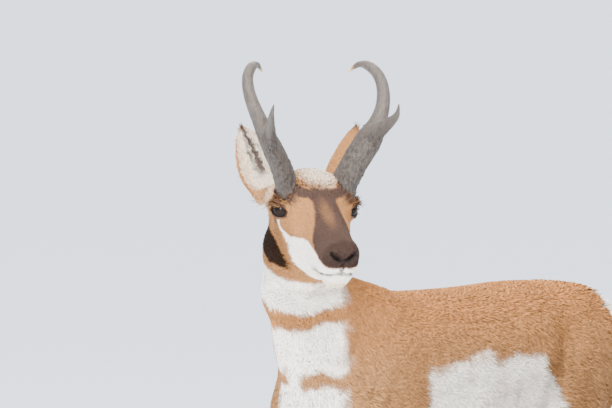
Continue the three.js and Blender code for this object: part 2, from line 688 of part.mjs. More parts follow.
const HEAD_STEP = 9.6;
function makeHead() {
  const xs = planes(-158, [-60, 16], [60, 9.2], [130, 11.6], [190, 8.6]);
  const ys = planes(-88, [-40, HEAD_STEP], [40, 11.4], [88, HEAD_STEP]);
  const zs = planes(-150, [-90, 15], [-50, 10], [30, 8.9], [70, 13]);
  const block = solidOf(netOf(flesh, xs, ys, zs, headTurn));
  const trimmed = keepBelow(block, HEAD_BACK.point, reversed(HEAD_BACK));
  const cutters = [];
  const additions = [];
  for (const side of [-1, 1]) {
    const eye = vec(EYE.at[0], side * EYE.at[1], EYE.at[2]);
    const out = vec(0.56, side * 0.82, 0.1).normalize();
    const up = UP.clone().addScaledVector(out, -out.z).normalize();
    const fore = up.clone().cross(out).normalize().multiplyScalar(side);
    const lid = Array.from({ length: 10 }, (_, i) => {
      const angle = (2 * Math.PI * i) / 10;
      const [c, s] = [Math.cos(angle), Math.sin(angle)];
      const way = out.clone().multiplyScalar(0.72).addScaledVector(fore, -c).addScaledVector(up, 0.6 * s);
      return eye.clone().addScaledVector(way.normalize(), EYE.radius + 1.2);
    });
    additions.push(band(lid, 2.6, true, 20));
    cutters.push(new THREE.IcosahedronGeometry(EYE.radius + GAP, 3).translate(eye.x, eye.y, eye.z));
    const opening = new THREE.IcosahedronGeometry(1, 3).scale(15.2, 11.2, 11);
    const middle = eye.clone().addScaledVector(out, EYE.radius - 1.5);
    opening.applyMatrix4(new THREE.Matrix4().makeBasis(fore, up, out).setPosition(middle));
    cutters.push(opening);
    const nostril = new THREE.IcosahedronGeometry(1, 2).scale(12, 4.2, 5.6).rotateX(side * -0.6);
    nostril.rotateZ(side * -0.62).translate(168, side * 15.5, -10);
    cutters.push(nostril);
    const lips = [[168, 2, -44], [152, 24, -45], [128, 27, -46], [102, 30, -52]].map(([x, y, z]) => {
      const from = vec(Math.min(x, 140), 0, z);
      return onFace(from, vec(x, side * y, z).sub(from).normalize());
    });
    cutters.push(band(lips, 1.7, false, 14));
  }
  const philtrum = [-20, -28, -36, -44].map((z) => onFace(vec(140, 0, z), vec(1, 0, 0)));
  cutters.push(band(philtrum, 1.5, false, 5));
  const inPlace = (g) => solidOf(g.applyMatrix4(headTurn));
  const shaped = joined([trimmed, ...additions.map(inPlace)]);
  return largest(cutters.map(inPlace).reduce((s, c) => s.subtract(c), shaped));
}

// The frame of horns and ears: zero between the eyes, +x level towards the nose, +z straight up.
const LEVEL = new THREE.Matrix4().makeRotationZ(rad(HEAD_YAW)).setPosition(HEAD_AT);

// Horn: [forward, outward, up, half length of section, half thickness]
const BEAM = [
  [-4, 46, 22, 28, 20],
  [0, 52, 48, 29, 20],
  [9, 65, 78, 30, 19],
  [19, 88, 118, 33, 17],
  [22, 100, 142, 20, 14.5],
  [19, 110, 166, 14, 12.5],
  [6, 117, 195, 12, 11],
  [-11, 115, 222, 10.5, 10],
  [-26, 103, 239, 9.5, 9],
  [-43, 89, 243, 6.5, 6],
  [-58, 75, 229, 1.2, 1.2],
];
const PRONG = [
  [14, 82, 104, 26, 13],
  [52, 94, 132, 17, 10],
  [84, 103, 146, 11, 7.5],
  [108, 109, 160, 6.5, 5],
  [118, 108, 178, 1, 1],
];
const HORN_TWIST = 22;
function tine(rows, side, rings, sides, across) {
  const path = new THREE.CatmullRomCurve3(rows.map(([x, y, z]) => vec(x, side * y, z)));
  const numbered = rows.map((row, i) => [i / (rows.length - 1), ...row]);
  const sections = [];
  for (let r = 0; r <= rings; r++) {
    const t = r / rings;
    const centre = path.getPoint(t);
    const along = path.getTangent(t);
    const wide = across.clone().addScaledVector(along, -across.dot(along)).normalize();
    const thin = along.clone().cross(wide);
    const [half, thick] = [between(numbered, t, 4), between(numbered, t, 5)];
    sections.push(
      Array.from({ length: sides }, (_, i) => {
        const angle = (2 * Math.PI * i) / sides;
        return centre
          .clone()
          .addScaledVector(wide, half * Math.cos(angle))
          .addScaledVector(thin, thick * Math.sin(angle));
      }),
    );
  }
  return solidOf(loft(sections).applyMatrix4(LEVEL));
}
// Warts on the lower half of the sheath: [share of the beam's length, turn round it in degrees, size]
const WARTS = [
  [0.16, 178, 5],
  [0.21, 190, 6],
  [0.27, 176, 6],
  [0.32, 186, 5],
  [0.2, 8, 5],
  [0.26, -6, 6],
  [0.12, 4, 4],
];
function makeHorn(side, headSolid) {
  const forward = vec(Math.cos(rad(HORN_TWIST)), side * Math.sin(rad(HORN_TWIST)), 0);
  const beam = tine(BEAM, side, 20, 12, forward);
  const prong = tine(PRONG, side, 7, 8, UP);
  const path = new THREE.CatmullRomCurve3(BEAM.map(([x, y, z]) => vec(x, side * y, z)));
  const warts = WARTS.map(([t, turn, size]) => {
    const row = t * (BEAM.length - 1);
    const half = mix(BEAM[Math.floor(row)][3], BEAM[Math.ceil(row)][3], row % 1);
    const way = forward.clone().applyAxisAngle(path.getTangent(t), rad(turn));
    const wart = new THREE.ConeGeometry(size * 0.8, size * 2.2, 6);
    wart.applyQuaternion(new THREE.Quaternion().setFromUnitVectors(vec(0, 1, 0), way));
    const at = path.getPoint(t).addScaledVector(way, half);
    return solidOf(wart.translate(at.x, at.y, at.z).applyMatrix4(LEVEL));
  });
  return largest(joined([beam, prong, ...warts]).subtract(headSolid));
}

// Ear: a leaf that is a cup in section, [share of length, half width, depth of cup]
const EAR = { length: 138, wall: 4.6 };
const EAR_FORM = [
  [0, 17, 18],
  [0.14, 25, 23],
  [0.3, 35, 23],
  [0.46, 38, 20],
  [0.62, 33, 15.5],
  [0.78, 24.5, 10.5],
  [0.9, 14, 6],
  [1, 1.6, 1.6],
];
const EAR_FACING = { left: -118, right: 24 };
function makeEar(side, headSolid) {
  const root = vec(-94, side * 53, 10);
  const tip = vec(-96, side * 106, 151);
  const up = tip.clone().sub(root).normalize();
  const facing = rad(side > 0 ? EAR_FACING.left : EAR_FACING.right) * -1;
  const open = vec(Math.cos(facing), Math.sin(facing), 0);
  open.addScaledVector(up, -open.dot(up)).normalize();
  const across = up.clone().cross(open).normalize();
  const POINTS = 9;
  const rings = Array.from({ length: 11 }, (_, r) => {
    const t = r / 10;
    const [half, depth] = [between(EAR_FORM, t, 1), between(EAR_FORM, t, 2)];
    const wall = Math.min(EAR.wall, half * 0.9);
    const bow = 7 * Math.sin(Math.PI * t);
    const centre = root.clone().addScaledVector(up, EAR.length * t).addScaledVector(across, -side * bow);
    const arc = (thick) =>
      Array.from({ length: POINTS }, (_, i) => {
        const s = (2 * i) / (POINTS - 1) - 1;
        const back = -depth * (1 - s * s) - thick * Math.sqrt(1.02 - s * s);
        return centre.clone().addScaledVector(across, half * s).addScaledVector(open, back);
      });
    return [...arc(wall / 2), ...arc(-wall / 2).reverse()];
  });
  const shell = solidOf(loft(rings).applyMatrix4(LEVEL));
  return largest(shell.subtract(headSolid));
}

function makeEye(side) {
  const eye = new THREE.IcosahedronGeometry(EYE.radius, 3);
  return solidOf(eye.translate(EYE.at[0], side * EYE.at[1], EYE.at[2]).applyMatrix4(headTurn));
}

// Tail: a stem with flat locks that overlap down to its tip.
const TAIL_LOCKS = 9;
function makeTail() {
  const [root, tip] = [vec(...TAIL.root), vec(...TAIL.tip)];
  const lie = tip.clone().sub(root).normalize();
  const rings = Array.from({ length: 8 }, (_, r) => {
    const t = r / 7;
    const size = mix(TAIL.thick, TAIL.thin, t) * (t > 0.9 ? 0.55 : 1);
    const across = lie.clone().cross(vec(0, 1, 0));
    return Array.from({ length: 12 }, (_, i) => {
      const angle = (2 * Math.PI * i) / 12;
      return root
        .clone()
        .lerp(tip, t * 0.94)
        .add(vec(0, size * 1.15 * Math.cos(angle), 0))
        .addScaledVector(across, size * 0.72 * Math.sin(angle));
    });
  });
  const stem = solidOf(loft(rings));
  const locks = Array.from({ length: TAIL_LOCKS }, (_, i) => {
    const t = 0.25 + (0.6 * Math.floor(i / 3)) / (TAIL_LOCKS / 3 - 1);
    const turn = rad(-62 + 62 * (i % 3) + 18 * (Math.floor(i / 3) % 2));
    const outward = vec(-Math.cos(turn), Math.sin(turn), 0.35).normalize();
    const at = root.clone().lerp(tip, t).addScaledVector(outward, mix(TAIL.thick, TAIL.thin, t) * 0.62);
    return lock(at, lie, outward, 46 - 10 * t, 20, 7, 5);
  });
  return keepBelow(joined([stem, ...locks]), offset(TAIL_CUT, GAP), reversed(TAIL_CUT));
}

// The whole animal

const COAT = { tan: 0xb98254, white: 0xe9e2d6 };
const FINISH = {
  coat: { color: COAT.tan, roughness: 0.9 },
  tail: { color: COAT.white, roughness: 0.9 },
  horn: { color: 0x4a443f, roughness: 0.6 },
  hoof: { color: 0x1d1a18, roughness: 0.45 },
  eye: { color: 0x120c0a, roughness: 0.08 },
};
const pronghorn = new THREE.Group();
function add(name, solid, finish) {
  const material = new THREE.MeshStandardMaterial({ ...FINISH[finish], metalness: 0 });
  const mesh = new THREE.Mesh(welded(geometryOf(largest(solid))), material);
  mesh.name = name;
  mesh.position.set(-CENTRE_X, -CENTRE_Y, 0);
  pronghorn.add(mesh);
}

const headSolid = makeHead();
const neckSolid = maneOn(makeNeck());
const eyes = { left: makeEye(1), right: makeEye(-1) };
const headCutter = joined([headSolid, eyes.left, eyes.right].map((solid) => swollen(solid, SKIN_GAP)));
const neckCutter = swollen(neckSolid, 2 * SKIN_GAP);
add("torso", makeTorso(), "coat");
add("neck", neckSolid, "coat");
add("head", headSolid, "coat");
for (const [name, side] of [["left", 1], ["right", -1]]) {
  const horn = makeHorn(side, headCutter);
  add(`horn_${name}`, horn, "horn");
  add(`ear_${name}`, makeEar(side, joined([headCutter, neckCutter, swollen(horn, SKIN_GAP)])), "coat");
  add(`eye_${name}`, eyes[name], "eye");
}
add("tail", makeTail(), "tail");
for (const leg of ["fore_left", "fore_right", "hind_left", "hind_right"]) {
  const fore = leg.startsWith("fore");
  const [cut, joint] = fore ? [FORE_CUT, FORE.knee[2]] : [HIND_CUT, HIND.hock[2] + 26];
  const axis = fore ? axisOfFore(leg) : axisOfHind(leg);
  add(`${leg}_upper_leg`, makeLimb(leg, cut - GAP, joint + GAP / 2, fore ? 7 : 8, axis), "coat");
  add(`${leg}_lower_leg`, makeLimb(leg, joint - GAP / 2, CORONET, 16, axis), "coat");
  const side = leg.endsWith("left") ? 1 : -1;
  const [x, y] = axis(CORONET);
  for (const [toe, inward] of [["inner", 1], ["outer", -1]]) {
    const apart = side * (y - inward * 12.4);
    add(`${leg}_hoof_${toe}`, makeToe(x, apart, inward * side), "hoof");
  }
}

export default pronghorn;
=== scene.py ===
# %% [markdown]
# # A pronghorn buck, life size
#
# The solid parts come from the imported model: torso, neck, head, ears, legs, tail, horns, hooves and eyes.
# This script gives them their looks: one skin with no seams over all the flesh, a coat of small solid tufts,
# wet dark eyes set deep between their lids, rough horns and dark hooves.
# Lengths are metres. +X is the way the body faces, +Y is the animal's left and +Z is up.

import json
import math

import bmesh
import bpy
import numpy as np
from mathutils import Matrix, Vector

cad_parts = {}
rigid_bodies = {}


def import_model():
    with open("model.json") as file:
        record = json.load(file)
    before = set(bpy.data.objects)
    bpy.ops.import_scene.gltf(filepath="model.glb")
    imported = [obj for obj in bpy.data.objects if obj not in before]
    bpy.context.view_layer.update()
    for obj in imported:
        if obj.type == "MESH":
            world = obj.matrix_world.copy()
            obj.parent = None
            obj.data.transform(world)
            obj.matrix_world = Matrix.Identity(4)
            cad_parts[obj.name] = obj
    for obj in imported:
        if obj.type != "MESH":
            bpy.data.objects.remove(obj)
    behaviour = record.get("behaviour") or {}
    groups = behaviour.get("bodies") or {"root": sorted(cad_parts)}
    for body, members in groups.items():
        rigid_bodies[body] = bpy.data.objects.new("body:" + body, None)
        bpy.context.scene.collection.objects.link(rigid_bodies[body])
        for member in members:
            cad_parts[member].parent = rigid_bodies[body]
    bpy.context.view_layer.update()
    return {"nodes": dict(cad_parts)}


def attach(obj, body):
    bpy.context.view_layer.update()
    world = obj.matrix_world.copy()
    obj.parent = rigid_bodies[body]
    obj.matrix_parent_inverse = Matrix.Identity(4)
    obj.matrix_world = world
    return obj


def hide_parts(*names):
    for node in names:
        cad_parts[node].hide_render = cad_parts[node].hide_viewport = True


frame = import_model()
NODES = frame["nodes"]
print("nodes:", len(NODES))

# %% [markdown]
# The animal's own measures. The body frame has its zero on the floor below the middle of the back.
# The head has a frame of its own: x runs along the face to the nose, y to its left, z up through the brow,
# and its zero is midway between the eyes.

# %% The animal's frames
BODY_ZERO = np.array([-0.068, -0.035, 0.0])
HEAD_ZERO = np.array([0.498, 0.076, 1.005])
HEAD_YAW = math.radians(50)
HEAD_PITCH = math.radians(21.5)
EYE_AT = np.array([-0.002, 0.055, 0.001])
EYE_RADIUS = 0.0185
# The middle of the head, and the plane behind it where the neck begins, in the head's frame.
HEAD_MIDDLE = np.array([0.03, 0, -0.03])
HEAD_BACK_WAY = np.array([0.884, 0, 0.468])
HEAD_BACK_AT = -0.118

cy, sy, cp, sp = math.cos(HEAD_YAW), math.sin(HEAD_YAW), math.cos(HEAD_PITCH), math.sin(HEAD_PITCH)
HEAD_AXES = np.array([[cy * cp, sy * cp, -sp], [-sy, cy, 0.0], [cy * sp, sy * sp, cp]])


def body_of(points):
    return points - BODY_ZERO


def head_of(points):
    return (body_of(points) - HEAD_ZERO) @ HEAD_AXES.T


def world_of_head(points):
    return np.asarray(points) @ HEAD_AXES + HEAD_ZERO + BODY_ZERO


def ramp(x, low, high):
    t = np.clip((x - low) / (high - low), 0, 1)
    return t * t * (3 - 2 * t)


def unit(v):
    return v / np.maximum(np.linalg.norm(v, axis=-1, keepdims=True), 1e-9)


print("eyes at", world_of_head([EYE_AT, EYE_AT * [1, -1, 1]]).round(3).tolist())

# %% [markdown]
# A soft, uneven value for every point in space, made of a few sine waves. It makes the edges of the
# markings ragged and lets the coat's lie wander as a real coat does.

# %% Soft noise
def waves(points, size, seed=0, octaves=3):
    rng = np.random.default_rng(seed)
    total = np.zeros(len(points))
    for octave in range(octaves):
        for _ in range(4):
            way = unit(rng.normal(size=3)) * (2 * math.pi / size) * 2**octave
            total += np.sin(points @ way + rng.uniform(0, 6.28)) / 2**octave
    return total / 4


# %% [markdown]
# The skin. The flesh nodes are copied, swollen by a hair so that the thin gaps between them close, and
# joined into one surface by a voxel remesh. Smoothing then takes the steps off. The ears are too thin for
# that, so each keeps its own closed shell, sunk into the head.

# %% One skin from the flesh nodes
FLESH = [n for n in NODES if n in ("torso", "neck", "head", "tail") or n.endswith("_leg")]
EARS = ["ear_left", "ear_right"]
VOXEL = 0.0046
SWELL = 0.0007


def mesh_copy(name):
    source = NODES[name]
    mesh = source.data.copy()
    mesh.transform(source.matrix_world)
    mesh.materials.clear()
    copy = bpy.data.objects.new(name + "_copy", mesh)
    bpy.context.scene.collection.objects.link(copy)
    return copy


def join(objects, name):
    bpy.ops.object.select_all(action="DESELECT")
    for o in objects:
        o.select_set(True)
    bpy.context.view_layer.objects.active = objects[0]
    bpy.ops.object.join()
    objects[0].name = name
    objects[0].data.name = name
    return objects[0]


def points_of(mesh):
    out = np.empty(len(mesh.vertices) * 3)
    mesh.vertices.foreach_get("co", out)
    return out.reshape(-1, 3)


def normals_of(mesh):
    out = np.empty(len(mesh.vertices) * 3)
    mesh.vertices.foreach_get("normal", out)
    return out.reshape(-1, 3)


def move_points(mesh, points):
    mesh.vertices.foreach_set("co", np.ascontiguousarray(points, dtype=np.float64).ravel())
    mesh.update()


def weld(mesh):
    bm = bmesh.new()
    bm.from_mesh(mesh)
    bmesh.ops.remove_doubles(bm, verts=bm.verts, dist=1e-5)
    bmesh.ops.recalc_face_normals(bm, faces=bm.faces)
    bm.to_mesh(mesh)
    bm.free()


copies = []
for name in FLESH:
    copy = mesh_copy(name)
    weld(copy.data)
    move_points(copy.data, points_of(copy.data) + SWELL * normals_of(copy.data))
    copies.append(copy)
skin = join(copies, "skin")
remesh = skin.modifiers.new("one surface", "REMESH")
remesh.mode = "VOXEL"
remesh.voxel_size = VOXEL
bpy.context.view_layer.objects.active = skin
bpy.ops.object.modifier_apply(modifier=remesh.name)
print("skin points:", len(skin.data.vertices))

# %% [markdown]
# The face shows most, so its surface is divided finer before it is shaped: once over the whole head, and once
# more round the eyes and the muzzle.

# %% Finer skin on the head


def divide_where(obj, test):
    bm = bmesh.new()
    bm.from_mesh(obj.data)
    bm.verts.ensure_lookup_table()
    inside = test(np.array([v.co for v in bm.verts]))
    edges = [e for e in bm.edges if inside[e.verts[0].index] and inside[e.verts[1].index]]
    bmesh.ops.subdivide_edges(bm, edges=edges, cuts=1, use_grid_fill=True)
    bmesh.ops.triangulate(bm, faces=[f for f in bm.faces if len(f.verts) > 4])
    bm.to_mesh(obj.data)
    bm.free()


def smooth(mesh, rounds, share, weight=None):
    count = len(mesh.vertices)
    pairs = np.empty(len(mesh.edges) * 2, dtype=np.int64)
    mesh.edges.foreach_get("vertices", pairs)
    a, b = pairs.reshape(-1, 2).T
    degree = np.bincount(a, minlength=count) + np.bincount(b, minlength=count)
    points = points_of(mesh)
    hold = np.ones(count) if weight is None else weight
    for i in range(rounds * 2):
        mean = np.zeros_like(points)
        for axis in range(3):
            mean[:, axis] = np.bincount(a, points[b, axis], count) + np.bincount(b, points[a, axis], count)
        step = share if i % 2 == 0 else -share * 1.03
        points += (step * hold)[:, None] * (mean / np.maximum(degree, 1)[:, None] - points)
    move_points(mesh, points)


smooth(skin.data, 8, 0.6)
near_head = lambda p: np.linalg.norm(head_of(p) - HEAD_MIDDLE, axis=1) < 0.18
near_features = lambda p: (head_of(p)[:, 0] > 0.075) | (
    np.linalg.norm(np.abs(head_of(p)) - [0.002, 0.06, 0.001], axis=1) < 0.042
)
divide_where(skin, near_head)
divide_where(skin, lambda p: near_head(p) & near_features(p))
smooth(skin.data, 3, 0.6)
print("skin points with a finer head:", len(skin.data.vertices))

# %% [markdown]
# The skin lies inside the solid by the depth of the coat: about two millimetres on the face and the legs, and
# four and a half on the body. Then the face is shaped: a fold is pressed above the eye, and the nostrils, the
# line of the mouth and the cleft under the nose go in.

# %% Coat depth and the shape of the face


def coat_depth(points):
    h = head_of(points)
    body = body_of(points)
    face = 1 - ramp(np.linalg.norm(h - [0.05, 0, -0.03], axis=1), 0.10, 0.20)
    leg = 1 - ramp(body[:, 2], 0.36, 0.56)
    depth = 0.0045 * (1 - face) * (1 - leg) + 0.0018 * face + 0.0018 * leg * (1 - face)
    return depth


def near_curve(points, curve, radius):
    best = np.full(len(points), 9.0)
    for p, q in zip(curve[:-1], curve[1:]):
        d = q - p
        t = np.clip(((points - p) @ d) / (d @ d), 0, 1)
        best = np.minimum(best, np.linalg.norm(points - p - t[:, None] * d, axis=1))
    return 1 - ramp(best, 0, radius)


MOUTH = np.array(
    [
        [0.186, 0.000, -0.044],
        [0.180, 0.015, -0.045],
        [0.160, 0.028, -0.048],
        [0.130, 0.034, -0.057],
        [0.100, 0.034, -0.069],
    ]
)
NOSTRIL = np.array([[0.186, 0.0070, -0.0170], [0.184, 0.0130, -0.0110], [0.178, 0.0200, -0.0060]])
PHILTRUM = np.array([[0.188, 0, -0.018], [0.187, 0, -0.030], [0.186, 0, -0.044]])

mesh = skin.data
points, normals = points_of(mesh), normals_of(mesh)
points = points - coat_depth(points)[:, None] * normals
h = head_of(points)


def onto_skin(curve, cloud):
    return np.array([cloud[np.argmin(((cloud - p) ** 2).sum(1))] for p in curve])


front_points = h[np.linalg.norm(h - [0.15, 0, -0.03], axis=1) < 0.09]
MOUTH, NOSTRIL, PHILTRUM = (onto_skin(curve, front_points) for curve in (MOUTH, NOSTRIL, PHILTRUM))
mirror = np.where(h[:, 1:2] < 0, -1.0, 1.0) * [[0, 1, 0]] + [[1, 0, 1]]
folded = h * mirror
inward = -(normals @ HEAD_AXES.T)
pit = near_curve(folded, NOSTRIL, 0.0068)
h += inward * (0.0078 * pit)[:, None]
rim = near_curve(folded, NOSTRIL, 0.0125) - pit
h -= inward * (0.0012 * np.clip(rim, 0, 1))[:, None]
line = near_curve(folded, MOUTH, 0.0046)
h += inward * (0.0044 * line)[:, None]
lips = near_curve(folded, MOUTH, 0.011) - line
h -= inward * (0.0012 * np.clip(lips, 0, 1))[:, None]
h += inward * (0.0032 * near_curve(folded, PHILTRUM, 0.0045))[:, None]
for side in (1, -1):
    eye = EYE_AT * [1, side, 1]
    away = h - eye
    far = np.linalg.norm(away, axis=1)
    fold = (1 - ramp(np.abs(far - 0.0265), 0, 0.0045)) * ramp(away[:, 2], -0.002, 0.012)
    h += inward * (0.0026 * fold)[:, None]
    away = h - eye
    far = np.linalg.norm(away, axis=1)
    ball = EYE_RADIUS + 0.0009
    h = np.where((far < ball)[:, None], eye + away / far[:, None] * ball, h)
points = world_of_head(h)
move_points(mesh, points)
print("face shaped; skin box", points.min(0).round(3).tolist(), points.max(0).round(3).tolist())

# %% [markdown]
# The lids are a thin shell that wraps the ball of the eye and leaves an almond opening, fuller above than
# below, with a bare dark edge. The ears join the skin here as shells of their own, made rounder first.

# %% Lids and ears


def new_mesh(name, points, faces):
    mesh = bpy.data.meshes.new(name)
    mesh.from_pydata([tuple(p) for p in points], [], [tuple(f) for f in faces])
    mesh.update()
    obj = bpy.data.objects.new(name, mesh)
    bpy.context.scene.collection.objects.link(obj)
    return obj


EYE_OUT = unit(np.array([0.56, 0.82, 0.10]))
EYE_UP = unit(np.array([0, 0, 1.0]) - EYE_OUT[2] * EYE_OUT)
EYE_FORE = np.cross(EYE_OUT, EYE_UP)


LID_WIDE, LID_UPPER, LID_LOWER = 1.0, 0.50, 0.42


def opening_at(turn, scale, reach):
    """A place on the almond edge of the lids, `scale` times as far out from its middle."""
    c, s = math.cos(turn), math.sin(turn)
    lift = (LID_UPPER if s > 0 else LID_LOWER) * s - 0.06 * c
    return unit(EYE_OUT * 0.80 + EYE_FORE * LID_WIDE * scale * c + EYE_UP * lift * scale) * reach


def lid_scale(folded):
    """How far out from the middle of the lids a point lies: 1 on their edge, 9 away from the eye."""
    away = folded - EYE_AT
    far = np.linalg.norm(away, axis=1)
    out = np.maximum(away @ EYE_OUT, 1e-4)
    fore = (away @ EYE_FORE) / out * 0.80 / LID_WIDE
    up = (away @ EYE_UP) / out * 0.80 + 0.06 * fore
    scale = np.hypot(fore, up / np.where(up > 0, LID_UPPER, LID_LOWER))
    return np.where((away @ EYE_OUT > 0.001) & (far < EYE_RADIUS + 0.010), scale, 9.0)


# Section of a lid: [how far out from the edge, height over the ball of the eye]
LID_PROFILE = [
    (1.00, 0.0012),
    (1.10, 0.0024),
    (1.28, 0.0027),
    (1.50, 0.0022),
    (1.78, 0.0004),
    (1.40, 0.0002),
    (1.03, 0.0003),
]


def lid_shell(side):
    """Both lids as one closed shell that wraps the ball of the eye and sinks into the face."""
    steps, around = 64, len(LID_PROFILE)
    rows, faces = [], []
    for i in range(steps):
        turn = 2 * math.pi * i / steps
        fuller = 1 + 0.55 * max(math.sin(turn), 0)
        for scale, rise in LID_PROFILE:
            rows.append(EYE_AT + opening_at(turn, scale, EYE_RADIUS + rise * (fuller if rise > 0.001 else 1)))
    for i in range(steps):
        for j in range(around):
            a, b = i * around + j, i * around + (j + 1) % around
            c, d = ((i + 1) % steps) * around + (j + 1) % around, ((i + 1) % steps) * around + j
            faces.append((a, b, c, d))
    points = world_of_head(np.array(rows) * [1, side, 1])
    lid = new_mesh("lid", points, faces)
    weld(lid.data)
    return lid


ears = []
for name in EARS:
    ear = mesh_copy(name)
    weld(ear.data)
    finer = ear.modifiers.new("rounder", "SUBSURF")
    finer.levels = 1
    bpy.context.view_layer.objects.active = ear
    bpy.ops.object.modifier_apply(modifier=finer.name)
    ears.append(ear)
skin = join([skin, lid_shell(1), lid_shell(-1), *ears], "skin")
skin.data.name = "skin"
for polygon in skin.data.polygons:
    polygon.use_smooth = True
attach(skin, "root")
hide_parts(*FLESH, *EARS)
print("skin with lids and ears:", len(skin.data.vertices), "points,", len(skin.data.polygons), "faces")

# %% [markdown]
# Where each point belongs, and which colours it wears. The same function serves the skin and the coat, so
# the two always agree: tan back and flanks, white belly, rump and throat bands, a dark blaze on the face,
# black patches at the angle of the jaw, and dark tips on the ears. It also paints light and shade: the top of
# the back lighter, painted shade on the lower body, in the crease of the flank, beside the jaw and in the
# fold over the eye, and a painted shadow along the mouth.

# %% The markings
EAR_ROOTS = {1: np.array([-0.094, 0.053, 0.010]), -1: np.array([-0.094, -0.053, 0.010])}
EAR_TIPS = {1: np.array([-0.096, 0.106, 0.151]), -1: np.array([-0.096, -0.106, 0.151])}
LEVEL_AXES = np.array([[cy, sy, 0.0], [-sy, cy, 0.0], [0, 0, 1.0]])


def level_of(points):
    return (body_of(points) - HEAD_ZERO) @ LEVEL_AXES.T


EAR_OPEN_TURNS = {1: 118, -1: -24}
EAR_OPEN = {
    s: np.array([math.cos(math.radians(t)), math.sin(math.radians(t)), 0])
    for s, t in EAR_OPEN_TURNS.items()
}
EAR_ACROSS = {s: unit(np.cross(EAR_TIPS[s] - EAR_ROOTS[s], EAR_OPEN[s])) for s in (1, -1)}


def ear_share(points, side):
    level = level_of(points)
    root, tip = EAR_ROOTS[side], EAR_TIPS[side]
    along = tip - root
    return ((level - root) @ along) / (along @ along)


NECK_FRONT = unit(np.array([0.93, 0.36, 0.0]))
# Outline of the white cheek and chin, in the side view of the head: [along the face, up], millimetres.
CHEEK = [[-4, -13], [5, -27], [28, -34], [59, -25], [86, -20], [121, -25], [150, -26], [172, -33], [185, -50],
         [172, -84], [100, -104], [61, -93], [41, -88], [32, -77], [23, -52], [10, -41], [-6, -28], [-9, -15]]


# Outline of the painted shade between that cheek and the black patch, in the same view.
JAW_SHADE = [[-24, -30], [0, -46], [22, -62], [34, -84], [26, -98], [8, -72], [-24, -52]]
# Outline of the black patch at the angle of the jaw, in the same view.
JAW_PATCH = [[-94, -66], [-77, -60], [-48, -57], [-22, -59], [-1, -65], [16, -74], [25, -86], [22, -98],
             [2, -99], [-22, -105], [-42, -102], [-66, -93], [-90, -80]]


def in_outline(u, v, outline, soft):
    """1 inside a closed outline, 0 outside, with an edge that fades over `soft`."""
    outline = np.array(outline, dtype=float)
    inside = np.zeros(len(u), bool)
    far = np.full(len(u), 1e9)
    for (x0, y0), (x1, y1) in zip(outline, np.roll(outline, -1, axis=0)):
        crosses = ((y0 > v) != (y1 > v)) & (u < (x1 - x0) * (v - y0) / (y1 - y0 + 1e-12) + x0)
        inside ^= crosses
        d = np.array([x1 - x0, y1 - y0])
        t = np.clip(((u - x0) * d[0] + (v - y0) * d[1]) / (d @ d), 0, 1)
        far = np.minimum(far, np.hypot(u - x0 - t * d[0], v - y0 - t * d[1]))
    return ramp(np.where(inside, far, -far), -soft, soft)


def blob(points, centre, radii, soft=0.25):
    """1 inside an egg shape, fading to 0 outside it."""
    far = np.linalg.norm((points - np.array(centre)) / np.array(radii), axis=1)
    return 1 - ramp(far, 1 - soft, 1 + soft)


